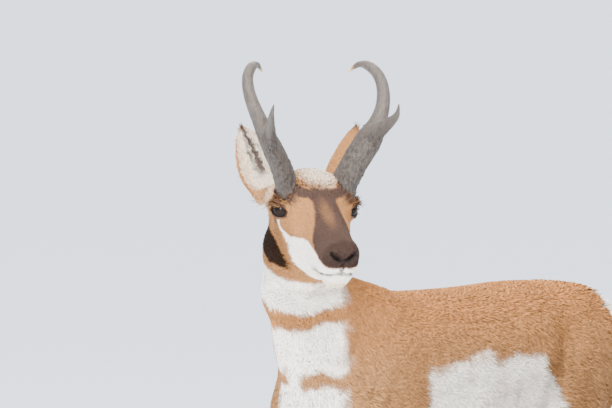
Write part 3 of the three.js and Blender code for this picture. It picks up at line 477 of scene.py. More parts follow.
def markings(points, normals, is_ear, ear_side, ear_places):
    b, h = body_of(points), head_of(points)
    x, y, z = b.T
    ragged = waves(points, 0.06, 3)
    fine = waves(points, 0.020, 5)
    mm = h * 1000 + 1.6 * np.stack([fine, 0 * fine, waves(points, 0.022, 6)], 1)
    hx, hy, hz = mm.T
    side = np.abs(hy)
    folded = np.stack([hx, side, hz], 1)
    head_share = ramp(hx * 0.884 + hz * 0.468, -128, -104) * ramp(z, 0.80, 0.86)
    head_share *= (np.linalg.norm(h - HEAD_MIDDLE, axis=1) < 0.22) * ramp(hz, -124, -112)

    front = normals @ NECK_FRONT
    column = z + 0.007 * ragged + 0.004 * fine
    neck_zone = ramp(x, 0.27, 0.33) * (1 - head_share)
    off_line = np.abs(y - np.interp(z, [0.78, 0.90], [0.004, 0.0])) + 0.004 * fine
    facing = (1 - ramp(off_line, 0.052, 0.068)) * ramp(front, 0.05, 0.30)
    under = np.interp(y, [-0.045, -0.008, 0.015, 0.037, 0.055], [0.858, 0.841, 0.832, 0.838, 0.850])
    crescent = ramp(column, under - 0.006, under + 0.006)
    over = np.interp(y, [-0.048, 0.002, 0.028, 0.055], [0.806, 0.798, 0.803, 0.818])
    band = ramp(column, 0.726, 0.742) * (1 - ramp(column, over - 0.005, over + 0.007))
    split = (1 - ramp(np.abs(y + 0.014 + 0.006 * ragged), 0.008, 0.022)) * (1 - ramp(column, 0.728, 0.742))
    chest_front = 1 - ramp(column, 0.698, 0.712)
    under_jaw = (1 - ramp(hz, -128, -116)) * ramp(x, 0.36, 0.41)
    crescent *= under_jaw
    throat = neck_zone * facing * np.clip(crescent + band + split + chest_front, 0, 1)

    above_legs = ramp(z, 0.46, 0.50)
    side_top = np.interp(
        x,
        [-0.21, -0.18, -0.14, -0.05, 0.06, 0.15, 0.218],
        [0.640, 0.690, 0.732, 0.746, 0.744, 0.732, 0.722],
    )
    flank = 1 - ramp(z + 0.010 * ragged + 0.004 * fine, side_top - 0.014, side_top + 0.010)
    flank *= ramp(x + 0.010 * ragged, -0.214, -0.188) * (1 - ramp(x + 0.006 * fine, 0.204, 0.224))
    flank *= above_legs
    streaks = waves(points * [1.0, 1.0, 0.45], 0.045, 9)
    flank *= 1 - 0.60 * ramp(streaks, 0.0, 1.0) * (1 - ramp(z, 0.665, 0.735)) * ramp(z, 0.54, 0.62)
    belly = (1 - ramp(z + 0.004 * ragged, 0.545, 0.565)) * ramp(z, 0.47, 0.50)
    belly *= 1 - ramp(x, 0.20, 0.24)
    belly *= 1 - (1 - ramp(x, -0.20, -0.14)) * ramp(np.abs(y), 0.070, 0.092)
    rump_edge = -0.362 - 0.06 * (1 - ramp(z, 0.70, 0.83)) + 0.004 * ragged
    rump = (1 - ramp(x, rump_edge - 0.010, rump_edge + 0.004)) * ramp(z, 0.60, 0.66)
    chest = (1 - ramp(z, 0.64, 0.72)) * ramp(x, 0.27, 0.31) * (1 - ramp(np.abs(y), 0.05, 0.07))
    chest *= above_legs
    inner_leg = ramp(0.090 - np.abs(y), -0.002, 0.006) * (1 - ramp(z, 0.50, 0.56)) * ramp(z, 0.03, 0.10)
    white = np.clip(throat + (flank + belly + rump + chest + 0.9 * inner_leg) * (1 - head_share), 0, 1)

    half = np.interp(
        hx,
        [-30, 0, 12, 20, 32, 44, 70, 90, 105, 120, 190],
        [80, 54, 46, 37, 23, 19, 21, 27, 33, 42, 42],
    )
    low = np.interp(hx, [80, 93, 105, 120, 150, 172, 180], [-30, -4, -14, -22, -25, -31, -33])
    top = np.interp(side, [0, 20, 30, 50, 70], [15, 11, 5, -12, -30])
    blaze = (1 - ramp(side, half - 2.5, half + 2.5)) * ramp(hz, low - 1.5, low + 2.5)
    blaze *= ramp(hx, top - 3, top + 4)
    blaze *= 1 - 0.34 * blob(mm, [84, -5, 28], [34, 8, 16], 0.75)
    cheek = in_outline(hx, hz, CHEEK, 2.2) * (1 - blaze)
    lip = ramp(hx, 120, 150) * (1 - ramp(hz, -34, -30)) * (1 - blaze)
    patch = in_outline(hx, hz, JAW_PATCH, 2.5) * ramp(side, 14, 24)
    fluff = blob(mm + 3.0 * np.stack([ragged, fine, ragged], 1), [-26, 6, 50], [36, 25, 16], 0.5)
    ear_base = blob(folded, [-84, 52, -8], [24, 26, 30], 0.4)
    brow = blob(folded, [6, 52, 30], [32, 18, 13], 0.45)
    lid = lid_scale(folded / 1000)
    # The dark bare edge of the lids, widened above the eye into a painted shade in the fold over it.
    rim = (1 - ramp(lid, 1.22, 1.48 + 0.35 * ramp(hz, 4, 14))) * 0.9
    chin = ramp(hx, 80, 110) * (1 - ramp(hz, -64, -54))
    fluff *= np.clip(0.72 + 0.3 * fine, 0.35, 1)
    head_white = np.clip(cheek + lip, 0, 1) * (1 - patch) + 0.85 * fluff + 0.18 * ear_base
    dark = head_share * np.clip(np.maximum(blaze, np.maximum(0.9 * brow, rim)) * (1 - 0.8 * fluff), 0, 1)
    white = white * (1 - head_share) + head_share * np.clip(head_white, 0, 1)
    nose = ramp(hx, 158, 166) * blaze
    # Painted shadow along the line of the mouth and in the cleft under the nose.
    painted_mouth_shadow = near_curve(folded / 1000, MOUTH, 0.0065) + 1.3 * near_curve(folded / 1000, PHILTRUM, 0.0055)
    dark = np.clip(dark + 0.75 * head_share * painted_mouth_shadow, 0, 1)
    black = head_share * np.clip(0.96 * patch + 0.35 * nose, 0, 1)
    cream = head_share * np.clip(0.40 * fluff + 0.20 * ear_base + 0.65 * chin, 0, 1)
    nape = ramp(-front, 0.72, 0.92) * ramp(x, 0.27, 0.31) * ramp(z, 0.86, 0.88) * (1 - head_share)
    dark = np.clip(dark + 0.8 * nape, 0, 1)
    # Painted light: the back is warmer and painted lighter towards the top, as if lit from above; the waves
    # vary its tone at random.
    rust = np.clip(ramp(z, 0.70, 0.86) + 0.22 * waves(points, 0.22, 8), 0, 1) * (1 - 0.65 * head_share)
    # Painted shade: darker towards the bottom of the body, in the crease of the flank, over the white side
    # patch and beside the jaw. The lower hind is darker too, and the ragged part is random tone.
    trunk = (1 - ramp(x, 0.22, 0.32)) * ramp(z, 0.42, 0.50)
    crease = 1 - ramp(np.abs(x + 0.178 + 0.25 * (z - 0.73)), 0.008, 0.034)
    crease *= ramp(z, 0.62, 0.70) * (1 - ramp(z, 0.76, 0.83))
    haunch = (1 - ramp(x, -0.22, -0.17)) * (1 - ramp(z, 0.66, 0.78))
    dim = 0.26 * (1 - ramp(z, 0.68, 0.84)) * trunk + 0.40 * crease
    dim += 0.14 * haunch * trunk + 0.12 * ragged * trunk + 0.14 * flank
    dim += 0.30 * head_share * (1 - cheek) * in_outline(hx, hz, JAW_SHADE, 8.0)
    ear_inner, ear_rim = ear_places.T
    share = np.where(ear_side > 0, ear_share(points, 1), ear_share(points, -1))
    tip_dark = ramp(share + 0.02 * fine, 0.80, 0.93)
    streak = ear_inner * (1 - ramp(ear_rim + 0.10 * fine, 0.12, 0.36)) * ramp(share, 0.22, 0.34)
    white = np.where(is_ear, 0.75 * ear_inner * (1 - tip_dark), white)
    dark = np.where(is_ear, np.clip(0.9 * tip_dark + 0.95 * streak, 0, 1), dark)
    black = np.where(is_ear, 0.0, black)
    cream = np.where(is_ear, 0.50 * ear_inner * (1 - streak) * (0.6 + 0.6 * ear_rim), cream)
    rust = np.where(is_ear, 0.35, rust)
    dim = np.where(is_ear, 0.0, dim)
    masks = dict(white=white, dark=dark, black=black, cream=cream, rust=rust, dim=dim)
    return {k: np.clip(v, 0, 1).astype(np.float32) for k, v in masks.items()}


def set_numbers(mesh, name, values, domain="POINT"):
    layer = mesh.attributes.get(name) or mesh.attributes.new(name, "FLOAT", domain)
    layer.data.foreach_set("value", np.ascontiguousarray(values, dtype=np.float32))


def ear_offset(points, side_of_ear):
    """Signed distance from the ear's middle line, across its opening."""
    level = level_of(points)
    left, right = ((level - EAR_ROOTS[s]) @ EAR_ACROSS[s] for s in (1, -1))
    return np.where(side_of_ear > 0, left, right)


def ear_facts(points):
    level = level_of(points)
    is_ear = np.zeros(len(points), bool)
    side = np.where(level[:, 1] > 0, 1, -1)
    for s in (1, -1):
        root, tip = EAR_ROOTS[s], EAR_TIPS[s]
        share = np.clip(ear_share(points, s), 0, 1.05)
        off = np.linalg.norm(level - root - share[:, None] * (tip - root), axis=1)
        is_ear |= (off < 0.045) & (share > 0.16)
    return is_ear, side


print("markings ready")

# %% [markdown]
# The skin is unwrapped by its own shape. Every tuft of the coat later takes its place on this same map, at
# the spot where it is rooted.

# %% Unwrap the skin
skin.data.uv_layers.new(name="OFBake")
bpy.ops.object.select_all(action="DESELECT")
skin.select_set(True)
bpy.context.view_layer.objects.active = skin
bpy.ops.object.mode_set(mode="EDIT")
bpy.ops.mesh.select_all(action="SELECT")
bpy.ops.uv.smart_project(angle_limit=math.radians(72), island_margin=0.002)
bpy.ops.object.mode_set(mode="OBJECT")
skin.data.calc_loop_triangles()
triangles = np.empty(len(skin.data.loop_triangles) * 3, dtype=np.int64)
skin.data.loop_triangles.foreach_get("vertices", triangles)
triangles = triangles.reshape(-1, 3)
corner_loops = np.empty(len(skin.data.loop_triangles) * 3, dtype=np.int64)
skin.data.loop_triangles.foreach_get("loops", corner_loops)
corner_loops = corner_loops.reshape(-1, 3)
skin_uv = np.empty(len(skin.data.loops) * 2)
skin.data.uv_layers["OFBake"].data.foreach_get("uv", skin_uv)
skin_uv = skin_uv.reshape(-1, 2)
skin_points = points_of(skin.data)
skin_normals = normals_of(skin.data)
is_ear, ear_side = ear_facts(skin_points)
level_normals = skin_normals @ LEVEL_AXES.T
faces_open = np.where(ear_side > 0, level_normals @ EAR_OPEN[1], level_normals @ EAR_OPEN[-1])
ear_across = ear_offset(skin_points, ear_side)
ear_rim = np.zeros(len(skin_points))
for s in (1, -1):
    here = np.nonzero(is_ear & (ear_side == s))[0]
    row = np.clip(ear_share(skin_points[here], s) * 24, 0, 24).astype(int)
    for r in np.unique(row):
        members = here[row == r]
        low, high = ear_across[members].min(), ear_across[members].max()
        ear_rim[members] = np.abs(ear_across[members] - (low + high) / 2) / max((high - low) / 2, 1e-4)
ear_inner = np.where(is_ear, ramp(faces_open, 0.0, 0.35) * (1 - ramp(ear_rim, 0.66, 0.86)), 0)
ear_places = np.stack([ear_inner, ear_rim], 1)
masks = markings(skin_points, skin_normals, is_ear, ear_side, ear_places)
for name, values in masks.items():
    set_numbers(skin.data, name, values)
print("skin triangles:", len(triangles), "ear points:", int(is_ear.sum()))

# %% [markdown]
# The lie of the coat. On the face the hair grows from the nose back over the cheeks, on the neck it runs
# down towards the shoulders, on the body it runs back and a little down, on the legs straight down, and on
# the ears from root to tip. Each way is turned a little by slow waves and laid flat on the skin.

# %% The lie of the hair


def lie_of(points, normals, is_ear, ear_side):
    b, h = body_of(points), head_of(points)
    x, y, z = b.T
    way = np.tile([-1.0, 0.0, -0.35], (len(points), 1))
    neck_way = unit(np.array([-0.62, -0.12, -0.78]))
    t = (ramp(x, 0.24, 0.34) * ramp(z, 0.66, 0.76))[:, None]
    way = unit(way) * (1 - t) + neck_way * t
    t = ((1 - ramp(z, 0.46, 0.56)))[:, None]
    way = way * (1 - t) + np.array([-0.12, 0, -1.0]) * t
    t = (ramp(x, 0.36, 0.42) * (1 - ramp(z, 0.62, 0.74)))[:, None]
    way = way * (1 - t) + np.array([-0.3, 0, -1.0]) * t
    t = ((1 - ramp(x, -0.44, -0.38)) * ramp(z, 0.56, 0.62))[:, None]
    way = way * (1 - t) + np.array([-0.35, 0, -1.0]) * t
    swept = np.stack([-1 + 0 * h[:, 0], 0.35 * np.tanh(h[:, 1] / 0.02), -0.30 + 0 * h[:, 0]], 1)
    head_way = swept @ HEAD_AXES
    t = (1 - ramp(np.linalg.norm(h - [0.03, 0, -0.02], axis=1), 0.15, 0.19))[:, None]
    way = way * (1 - t) + head_way * t
    for s in (1, -1):
        ear_way = unit(EAR_TIPS[s] - EAR_ROOTS[s]) @ LEVEL_AXES
        way = np.where((is_ear & (ear_side == s))[:, None], ear_way, way)
    turn = 0.20 * waves(points, 0.34, 11) + 0.12 * waves(points, 0.07, 12)
    side = np.cross(normals, way)
    way = way * np.cos(turn)[:, None] + side * np.sin(turn)[:, None]
    return unit(way - (way * normals).sum(1, keepdims=True) * normals)


# %% [markdown]
# A tuft is a small closed blade with six corners: a root edge sunk in the skin, a wider middle with a low
# ridge, and a tip. Thousands of them, each with its own length, width and lean, make the coat. They are
# scattered by area, denser where they are small, and built as whole arrays because a loop would take minutes.

# %% Scatter and build the tufts
TUFT_FACES = np.array(
    [[0, 1, 3], [0, 3, 2], [2, 3, 5], [1, 0, 4], [0, 2, 4], [3, 1, 4], [2, 5, 4], [5, 3, 4]]
)
UV_PATCH = 0.003
TIP_RISE = 0.35
coat_total = 0


def triangle_areas():
    a, b, c = (skin_points[triangles[:, i]] for i in range(3))
    return 0.5 * np.linalg.norm(np.cross(b - a, c - a), axis=1), (a + b + c) / 3


areas, centres = triangle_areas()
lid_or_bare = np.zeros(len(centres), bool)
head_centres = head_of(centres)
for s in (1, -1):
    lid_or_bare |= lid_scale(head_centres * [1, s, 1]) < 1.22
lid_or_bare |= near_curve(head_centres, NOSTRIL, 0.006) > 0.05
lid_or_bare |= near_curve(head_centres * [1, -1, 1], NOSTRIL, 0.006) > 0.05
lid_or_bare |= near_curve(np.abs(head_centres) * [1, 1, -1], MOUTH, 0.003) > 0.2


def grow(name, weight, count, length, width, lift, seed, spread=0.15, tone=0.0):
    """Tufts on the skin: `weight` per triangle picks where; a length may be given per root."""
    rng = np.random.default_rng(seed)
    share = areas * weight * ~lid_or_bare
    picked = rng.choice(len(areas), size=count, p=share / share.sum())
    r1, r2 = np.sqrt(rng.random(count)), rng.random(count)
    bary = np.stack([1 - r1, r1 * (1 - r2), r1 * r2], 1)[:, :, None]
    corners = triangles[picked]
    root = (skin_points[corners] * bary).sum(1)
    normal = unit((skin_normals[corners] * bary).sum(1))
    uv = (skin_uv[corner_loops[picked]] * bary).sum(1)
    ear = (is_ear[corners[:, 0]])
    side_of_ear = ear_side[corners[:, 0]]
    inner = ear_places[corners[:, 0]]
    way = lie_of(root, normal, ear, side_of_ear)
    across = np.cross(way, normal)
    lean = rng.normal(0, spread, count)[:, None]
    way = unit(way * np.cos(lean) + across * np.sin(lean))
    across = np.cross(way, normal)
    long = length(root) if callable(length) else np.full(count, length)
    wide = np.full(count, width)
    rise = np.full(count, lift)
    long = (long * rng.uniform(0.72, 1.25, count))[:, None]
    wide = (wide * rng.uniform(0.7, 1.25, count))[:, None]
    rise = (rise * rng.uniform(0.55, 1.2, count))[:, None]
    sunk = root - normal * rise * 0.35
    middle = root + way * long * 0.5 + normal * rise
    tip = root + way * long + normal * rise * TIP_RISE
    points = np.stack(
        [
            sunk - across * wide * 0.35,
            sunk + across * wide * 0.35,
            middle - across * wide * 0.5,
            middle + across * wide * 0.5,
            middle + normal * wide * 0.22 - way * long * 0.12,
            tip,
        ],
        1,
    )
    return finish_tufts(name, points, root, normal, uv, ear, side_of_ear, inner, rng, tone)


def finish_tufts(name, points, root, normal, uv, ear, side_of_ear, inner, rng, tone):
    global coat_total
    count = len(root)
    mesh = bpy.data.meshes.new(name)
    mesh.vertices.add(count * 6)
    mesh.vertices.foreach_set("co", points.astype(np.float32).ravel())
    faces = (np.arange(count)[:, None, None] * 6 + TUFT_FACES).reshape(-1, 3)
    mesh.loops.add(faces.size)
    mesh.loops.foreach_set("vertex_index", faces.ravel().astype(np.int32))
    mesh.polygons.add(len(faces))
    mesh.polygons.foreach_set("loop_start", np.arange(0, faces.size, 3, dtype=np.int32))
    mesh.update(calc_edges=True)
    mesh.polygons.foreach_set("use_smooth", np.ones(len(faces), dtype=bool))
    patch = np.array([[0, 0], [1, 0], [0, 0.5], [1, 0.5], [0.5, 0.4], [0.5, 1]]) - [0.5, 0]
    corner_uv = np.clip(uv[:, None, :] + patch[None] * UV_PATCH, 0.0005, 0.9995).reshape(-1, 2)
    layer = mesh.uv_layers.new(name="OFBake")
    layer.data.foreach_set("uv", corner_uv[faces.ravel()].astype(np.float32).ravel())
    for key, values in markings(root, normal, ear, side_of_ear, inner).items():
        set_numbers(mesh, key, np.repeat(values, 6))
    shade = np.clip(rng.normal(0.5 + tone, 0.24, count), 0, 1)
    set_numbers(mesh, "shade", np.repeat(shade, 6))
    set_numbers(mesh, "along", np.tile([0, 0, 0.5, 0.5, 0.5, 1.0], count))
    obj = bpy.data.objects.new(name, mesh)
    bpy.context.scene.collection.objects.link(obj)
    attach(obj, "root")
    coat_total += len(faces)
    print(name, count, "tufts,", len(faces), "triangles")
    return obj


# The skin under the coat gets a low along and shade value, which paint it in shade like the roots of the
# tufts.
set_numbers(skin.data, "shade", 0.35 + 0 * is_ear)
set_numbers(skin.data, "along", 0.25 + 0 * is_ear)

# %% [markdown]
# The coat, part by part. The face has the finest hair, the legs are short and flat, the neck and body have
# longer, overlapping blades, and the white hair of the rump and the nape's short mane are longest.

# %% Grow the coat
body_centres = body_of(centres)
cx, cyy, cz = body_centres.T
ear_centre = is_ear[triangles[:, 0]]
ear_inner_centre = ear_inner[triangles[:, 0]]
on_head = np.linalg.norm(head_centres - HEAD_MIDDLE, axis=1) < 0.20
on_head &= (head_centres @ HEAD_BACK_WAY > HEAD_BACK_AT) & ~ear_centre
on_leg = (cz < 0.50) & ~on_head & ~ear_centre
on_neck = (cx > 0.25) & (cz > 0.70) & ~on_head & ~ear_centre
on_rump = (cx < -0.34) & (cz > 0.50)
on_trunk = ~(on_head | on_leg | on_neck | on_rump | ear_centre)
NUMBER = 1.0


def many(n):
    return int(n * NUMBER)


def face_length(root):
    h = head_of(root)
    back = 1 - ramp(h[:, 0], -0.05, 0.06)
    muzzle = ramp(h[:, 0], 0.11, 0.15)
    left_far, right_far = (np.linalg.norm(h - EYE_AT * [1, s, 1], axis=1) for s in (1, -1))
    near_eye = 1 - ramp(np.minimum(left_far, right_far), 0.022, 0.04)
    return 0.0075 + 0.0045 * back - 0.0032 * muzzle - 0.0032 * near_eye


def ear_length(root):
    """Shorter hair towards the tip of the ear, so that the tip stays narrow."""
    share = np.maximum(ear_share(root, 1), ear_share(root, -1))
    return 0.0068 - 0.0036 * ramp(share, 0.5, 0.95)


front_half = head_centres[:, 0] > 0.035
left_half = head_centres[:, 1] > 0
grow("coat_face_front", on_head & front_half, many(22000), face_length, 0.0009, 0.0007, 21)
grow("coat_face_back_left", on_head & ~front_half & left_half, many(13000), face_length, 0.0011, 0.0010, 22)
grow("coat_face_back_right", on_head & ~front_half & ~left_half, many(13000), face_length, 0.0011, 0.0010, 23)
grow("coat_ears", ear_centre * (1 - 0.75 * ear_inner_centre), many(9000), ear_length, 0.0010, 0.0006, 24)
grow("coat_ear_lining", ear_centre * ear_inner_centre, many(4200), 0.0105, 0.0008, 0.0009, 25, spread=0.2)
grow("coat_neck_front", on_neck & (cx > 0.37), many(22000), 0.015, 0.0013, 0.0016, 26)
grow("coat_neck_back", on_neck & (cx <= 0.37), many(13000), 0.017, 0.0014, 0.0018, 27)
grow("coat_shoulders", on_trunk & (cx > 0.12), many(22000), 0.020, 0.0015, 0.0019, 28)
grow("coat_flanks_fore", on_trunk & (cx <= 0.12) & (cx > -0.11), many(22000), 0.022, 0.0016, 0.0020, 29)
grow("coat_flanks_hind", on_trunk & (cx <= -0.11), many(22000), 0.022, 0.0016, 0.0020, 35)
grow("coat_rump", on_rump, many(10000), 0.026, 0.0022, 0.0050, 30)
grow("coat_legs", on_leg, many(9000), 0.010, 0.0015, 0.0011, 31)
nape = unit(skin_normals) @ NECK_FRONT
nape_here = (nape[triangles[:, 0]] < -0.80) & (cx > 0.27) & (cz > 0.84) & ~on_head & ~ear_centre
grow("coat_mane", nape_here, many(1000), 0.034, 0.0024, 0.007, 32, tone=-0.1)
fluff_weight = blob(head_centres * 1000, [-26, 0, 50], [34, 30, 18], 0.4) * on_head
grow("coat_forehead", fluff_weight, many(2200), 0.018, 0.0012, 0.0055, 33, spread=0.6, tone=0.1)


def world_points(name):
    place = np.array(NODES[name].matrix_world)
    return points_of(NODES[name].data) @ place[:3, :3].T + place[:3, 3]


horn_points = np.concatenate([world_points("horn_left"), world_points("horn_right")])
horn_far = np.full(len(centres), 9.0)
for i in np.array_split(np.nonzero(on_head & (head_centres[:, 2] > 0.0))[0], 60):
    horn_far[i] = np.sqrt(((centres[i][:, None] - horn_points[None]) ** 2).sum(2).min(1))
grow("coat_horn_base", 1.0 - ramp(horn_far, 0.004, 0.013), many(3600), 0.020, 0.0013, 0.0030, 36, spread=0.35)
jowl_weight = on_head * (1 - ramp(head_centres[:, 2], -0.09, -0.07))
jowl_weight *= 1 - ramp(head_centres[:, 0], 0.05, 0.09)
grow("coat_jowl", jowl_weight, many(2200), 0.012, 0.0011, 0.0016, 34)
print("coat triangles:", coat_total)

# %% [markdown]
# Lashes: stiff dark hairs along the upper lid, each of its own length.

# %% Lashes


LASHES = 34
loop_points = np.empty(len(skin.data.loops), dtype=np.int64)
skin.data.loops.foreach_get("vertex_index", loop_points)
point_uv = np.zeros((len(skin_points), 2))
point_uv[loop_points] = skin_uv


def lashes(side, seed):
    rng = np.random.default_rng(seed)
    turns = np.linspace(0.10, 0.95, LASHES) * math.pi + rng.normal(0, 0.03, LASHES)
    roots = np.array([EYE_AT + opening_at(t, 1.06, EYE_RADIUS + 0.0022) for t in turns])
    out = unit(roots - EYE_AT)
    way = unit(out * 0.9 + EYE_FORE * 0.25 * rng.normal(0.2, 0.4, (LASHES, 1)) - EYE_UP * 0.18)
    across = unit(np.cross(way, EYE_UP))
    long = rng.uniform(0.007, 0.012, LASHES)[:, None]
    wide = 0.0004
    up = np.cross(across, way)
    sign = np.where(up @ EYE_UP > 0, 1, -1)[:, None]
    lift = up * sign
    middle = roots + way * long * 0.5
    tip = roots + way * long + lift * long * 0.15
    corners = [
        roots - across * wide,
        roots + across * wide,
        middle - across * wide,
        middle + across * wide,
        middle + lift * wide,
        tip,
    ]
    points = np.stack(corners, 1)
    flip = [1, side, 1]
    world = world_of_head((points * flip).reshape(-1, 3)).reshape(-1, 6, 3)
    flat = world_of_head(roots * flip)
    normal = (unit(roots - EYE_AT) * flip) @ HEAD_AXES
    none = np.zeros(LASHES)
    name = f"lashes_{'left' if side > 0 else 'right'}"
    root_uv = point_uv[[int(np.argmin(((skin_points - p) ** 2).sum(1))) for p in flat]]
    places = np.zeros((LASHES, 2))
    obj = finish_tufts(name, world, flat, normal, root_uv, none.astype(bool), none, places, rng, -0.4)
    for key, value in (("white", 0), ("cream", 0), ("dark", 1), ("black", 1)):
        set_numbers(obj.data, key, np.full(LASHES * 6, value))
    return obj


lashes(1, 41)
lashes(-1, 42)

# %% [markdown]
# A small language for shader maths. A `Value` wraps one output of a node, and plain arithmetic on it adds
# Math nodes. Colours are mixed with Mix nodes.

# %% Shader maths


class Value:
    def __init__(self, graph, socket):
        self.graph, self.socket = graph, socket

    def _math(self, operation, a, b):
        return self.graph.node("ShaderNodeMath", {"operation": operation}, {0: a, 1: b})

    def __add__(self, other):
        return self._math("ADD", self, other)

    def __radd__(self, other):
        return self._math("ADD", other, self)

    def __sub__(self, other):
        return self._math("SUBTRACT", self, other)

    def __rsub__(self, other):
        return self._math("SUBTRACT", other, self)

    def __mul__(self, other):
        return self._math("MULTIPLY", self, other)

    def __rmul__(self, other):
        return self._math("MULTIPLY", other, self)

    def __truediv__(self, other):
        return self._math("DIVIDE", self, other)

    def __rtruediv__(self, other):
        return self._math("DIVIDE", other, self)

    def __pow__(self, other):
        return self._math("POWER", self, other)


class Graph:
    """One material's nodes."""

    def __init__(self, name, **fixed):
        self.material = bpy.data.materials.new(name)
        self.material.use_nodes = True
        self.tree = self.material.node_tree
        self.shader = self.tree.nodes["Principled BSDF"]
        for socket, value in fixed.items():
            self.shader.inputs[socket.replace("_", " ")].default_value = value

    def node(self, kind, settings=None, inputs=None, output=0):
        made = self.tree.nodes.new(kind)
        for key, value in (settings or {}).items():
            setattr(made, key, value)
        for key, value in (inputs or {}).items():
            if isinstance(value, Value):
                self.tree.links.new(value.socket, made.inputs[key])
            else:
                made.inputs[key].default_value = value
        return Value(self, made.outputs[output])

    def number(self, name):
        return self.node("ShaderNodeAttribute", {"attribute_name": name}, output="Fac")

    def mix(self, share, a, b, blend="MIX"):
        a = (*a, 1) if isinstance(a, tuple) else a
        b = (*b, 1) if isinstance(b, tuple) else b
        settings = {"data_type": "RGBA", "blend_type": blend}
        return self.node("ShaderNodeMix", settings, {"Factor": share, 6: a, 7: b}, output=2)

    def noise(self, scale, detail=3.0, vector=None):
        inputs = {"Scale": scale, "Detail": detail}
        if vector is not None:
            inputs["Vector"] = vector
        return self.node("ShaderNodeTexNoise", {}, inputs)

    def place(self):
        return self.node("ShaderNodeTexCoord", {}, {}, output="Object")

    def scaled(self, scale):
        return self.node("ShaderNodeMapping", {}, {"Vector": self.place(), "Scale": scale})

    def bump(self, height, strength, distance):
        return self.node("ShaderNodeBump", {}, {"Height": height, "Strength": strength, "Distance": distance})

    def set(self, **links):
        for socket, value in links.items():
            self.tree.links.new(value.socket, self.shader.inputs[socket.replace("_", " ")])
        return self.material


# %% [markdown]
# The coat's colours by name. Skin and tufts share one recipe: tan, warmer and painted lighter towards the top
# of the back, then the dark, white, cream and black markings over it. A tuft is painted darker at its root, a
# painted shade where the tufts overlap, and each one differs a little in tone; the painted shade mask darkens
# it further.

# %% Coat and skin materials
TAN = (0.27, 0.130, 0.052)
# A warmer tan, lighter than TAN: painted light on the top of the back.
WARM_PAINTED_LIGHT_TAN = (0.35, 0.145, 0.047)
DARK = (0.050, 0.030, 0.023)
WHITE = (0.88, 0.80, 0.70)
CREAM = (0.62, 0.44, 0.24)
BLACK = (0.0035, 0.002, 0.0018)


def coat_colour(g):
    base = g.mix(g.number("rust"), TAN, WARM_PAINTED_LIGHT_TAN)
    base = g.mix(g.number("white"), base, WHITE)
    base = g.mix(g.number("cream"), base, CREAM)
    base = g.mix(g.number("dark"), base, DARK)
    base = g.mix(g.number("black"), base, BLACK)
    # Painted shade: each tuft is darker at its root, where the tufts overlap, and darker still under the
    # painted shade mask; the per-tuft shade value is random tone.
    light = (0.56 + 0.24 * g.number("along") + 0.46 * g.number("shade")) * (1.0 - 0.8 * g.number("dim"))
    grey = g.node("ShaderNodeCombineColor", {}, {0: light, 1: light, 2: light})
    return g.mix(1.0, base, grey, "MULTIPLY")


coat_graph = Graph("coat", Roughness=0.85, Specular_IOR_Level=0.03)
COAT = coat_graph.set(Base_Color=coat_colour(coat_graph))
skin_graph = Graph("skin under the coat", Roughness=0.85, Specular_IOR_Level=0.03)
hairy = skin_graph.noise(1.0, 4.0, skin_graph.scaled((420, 420, 160)))
SKIN = skin_graph.set(Base_Color=coat_colour(skin_graph), Normal=skin_graph.bump(hairy, 0.4, 0.002))
bare_graph = Graph("bare dark skin", Roughness=0.50, Specular_IOR_Level=0.06)
pores = bare_graph.noise(900.0, 3.0)
bare_tone = bare_graph.mix(bare_graph.noise(160.0), (0.003, 0.002, 0.002), (0.010, 0.007, 0.006))
BARE = bare_graph.set(Base_Color=bare_tone, Normal=bare_graph.bump(pores, 0.25, 0.0008))

skin.data.materials.append(SKIN)
skin.data.materials.append(BARE)
face_centres = np.empty(len(skin.data.polygons) * 3)
skin.data.polygons.foreach_get("center", face_centres)
hf = head_of(face_centres.reshape(-1, 3))
folded_faces = hf * np.where(hf[:, 1:2] < 0, [[1, -1, 1]], [[1, 1, 1]])
bare = (lid_scale(folded_faces) < 1.14) | (near_curve(folded_faces, NOSTRIL, 0.0085) > 0.15)
bare |= near_curve(folded_faces, MOUTH, 0.0042) > 0.3
bare |= (near_curve(folded_faces, PHILTRUM, 0.006) > 0.2) & (folded_faces[:, 2] > -0.040)
skin.data.polygons.foreach_set("material_index", bare.astype(np.int32))
for obj in bpy.data.objects:
    if obj.name.startswith(("coat_", "lashes_")):
        obj.data.materials.append(COAT)
print("bare faces:", int(bare.sum()))

# %% [markdown]
# The eyes are smooth balls behind the lids: almost black brown, under a thin clear coat that mirrors the
# lights. They sit exactly where the solid eyes are.

# %% Eyes
wet = {"Roughness": 0.12, "Specular_IOR_Level": 0.02}
clear_coat = {"Coat_Weight": 0.15, "Coat_Roughness": 0.04, "Coat_IOR": 1.34}
eye_graph = Graph("wet eye", **wet, **clear_coat)
ring = eye_graph.mix(eye_graph.noise(60.0), (0.002, 0.0013, 0.001), (0.010, 0.005, 0.003))
EYE = eye_graph.set(Base_Color=ring)
for name, side in (("eye_left", 1), ("eye_right", -1)):
    bpy.ops.mesh.primitive_uv_sphere_add(segments=64, ring_count=32, radius=EYE_RADIUS, location=(0, 0, 0))
    eye = bpy.context.object
    eye.name = f"smooth_{name}"
    eye.data.transform(Matrix.Translation(Vector(world_of_head(EYE_AT * [1, side, 1]))))
    for polygon in eye.data.polygons:
        polygon.use_smooth = True
    eye.data.materials.append(EYE)
    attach(eye, "root")
    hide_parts(name)
print("eyes made")

# %% [markdown]
# Horns and hooves keep the shape of their solids, made rounder by subdivision. The horn sheath is ridged and
# matted with grown-in hair below, and smooth and paler at the hooked tip. Its ridges are moved into the
# surface itself, and finer streaks are left to a bump.

# %% Horns and hooves


def rounder(name, levels):
    obj = mesh_copy(name)
    obj.name = f"smooth_{name}"
    weld(obj.data)
    finer = obj.modifiers.new("rounder", "SUBSURF")
    finer.levels = levels
    bpy.context.view_layer.objects.active = obj
    bpy.ops.object.modifier_apply(modifier=finer.name)
    for polygon in obj.data.polygons:
        polygon.use_smooth = True
    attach(obj, "root")
    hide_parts(name)
    return obj


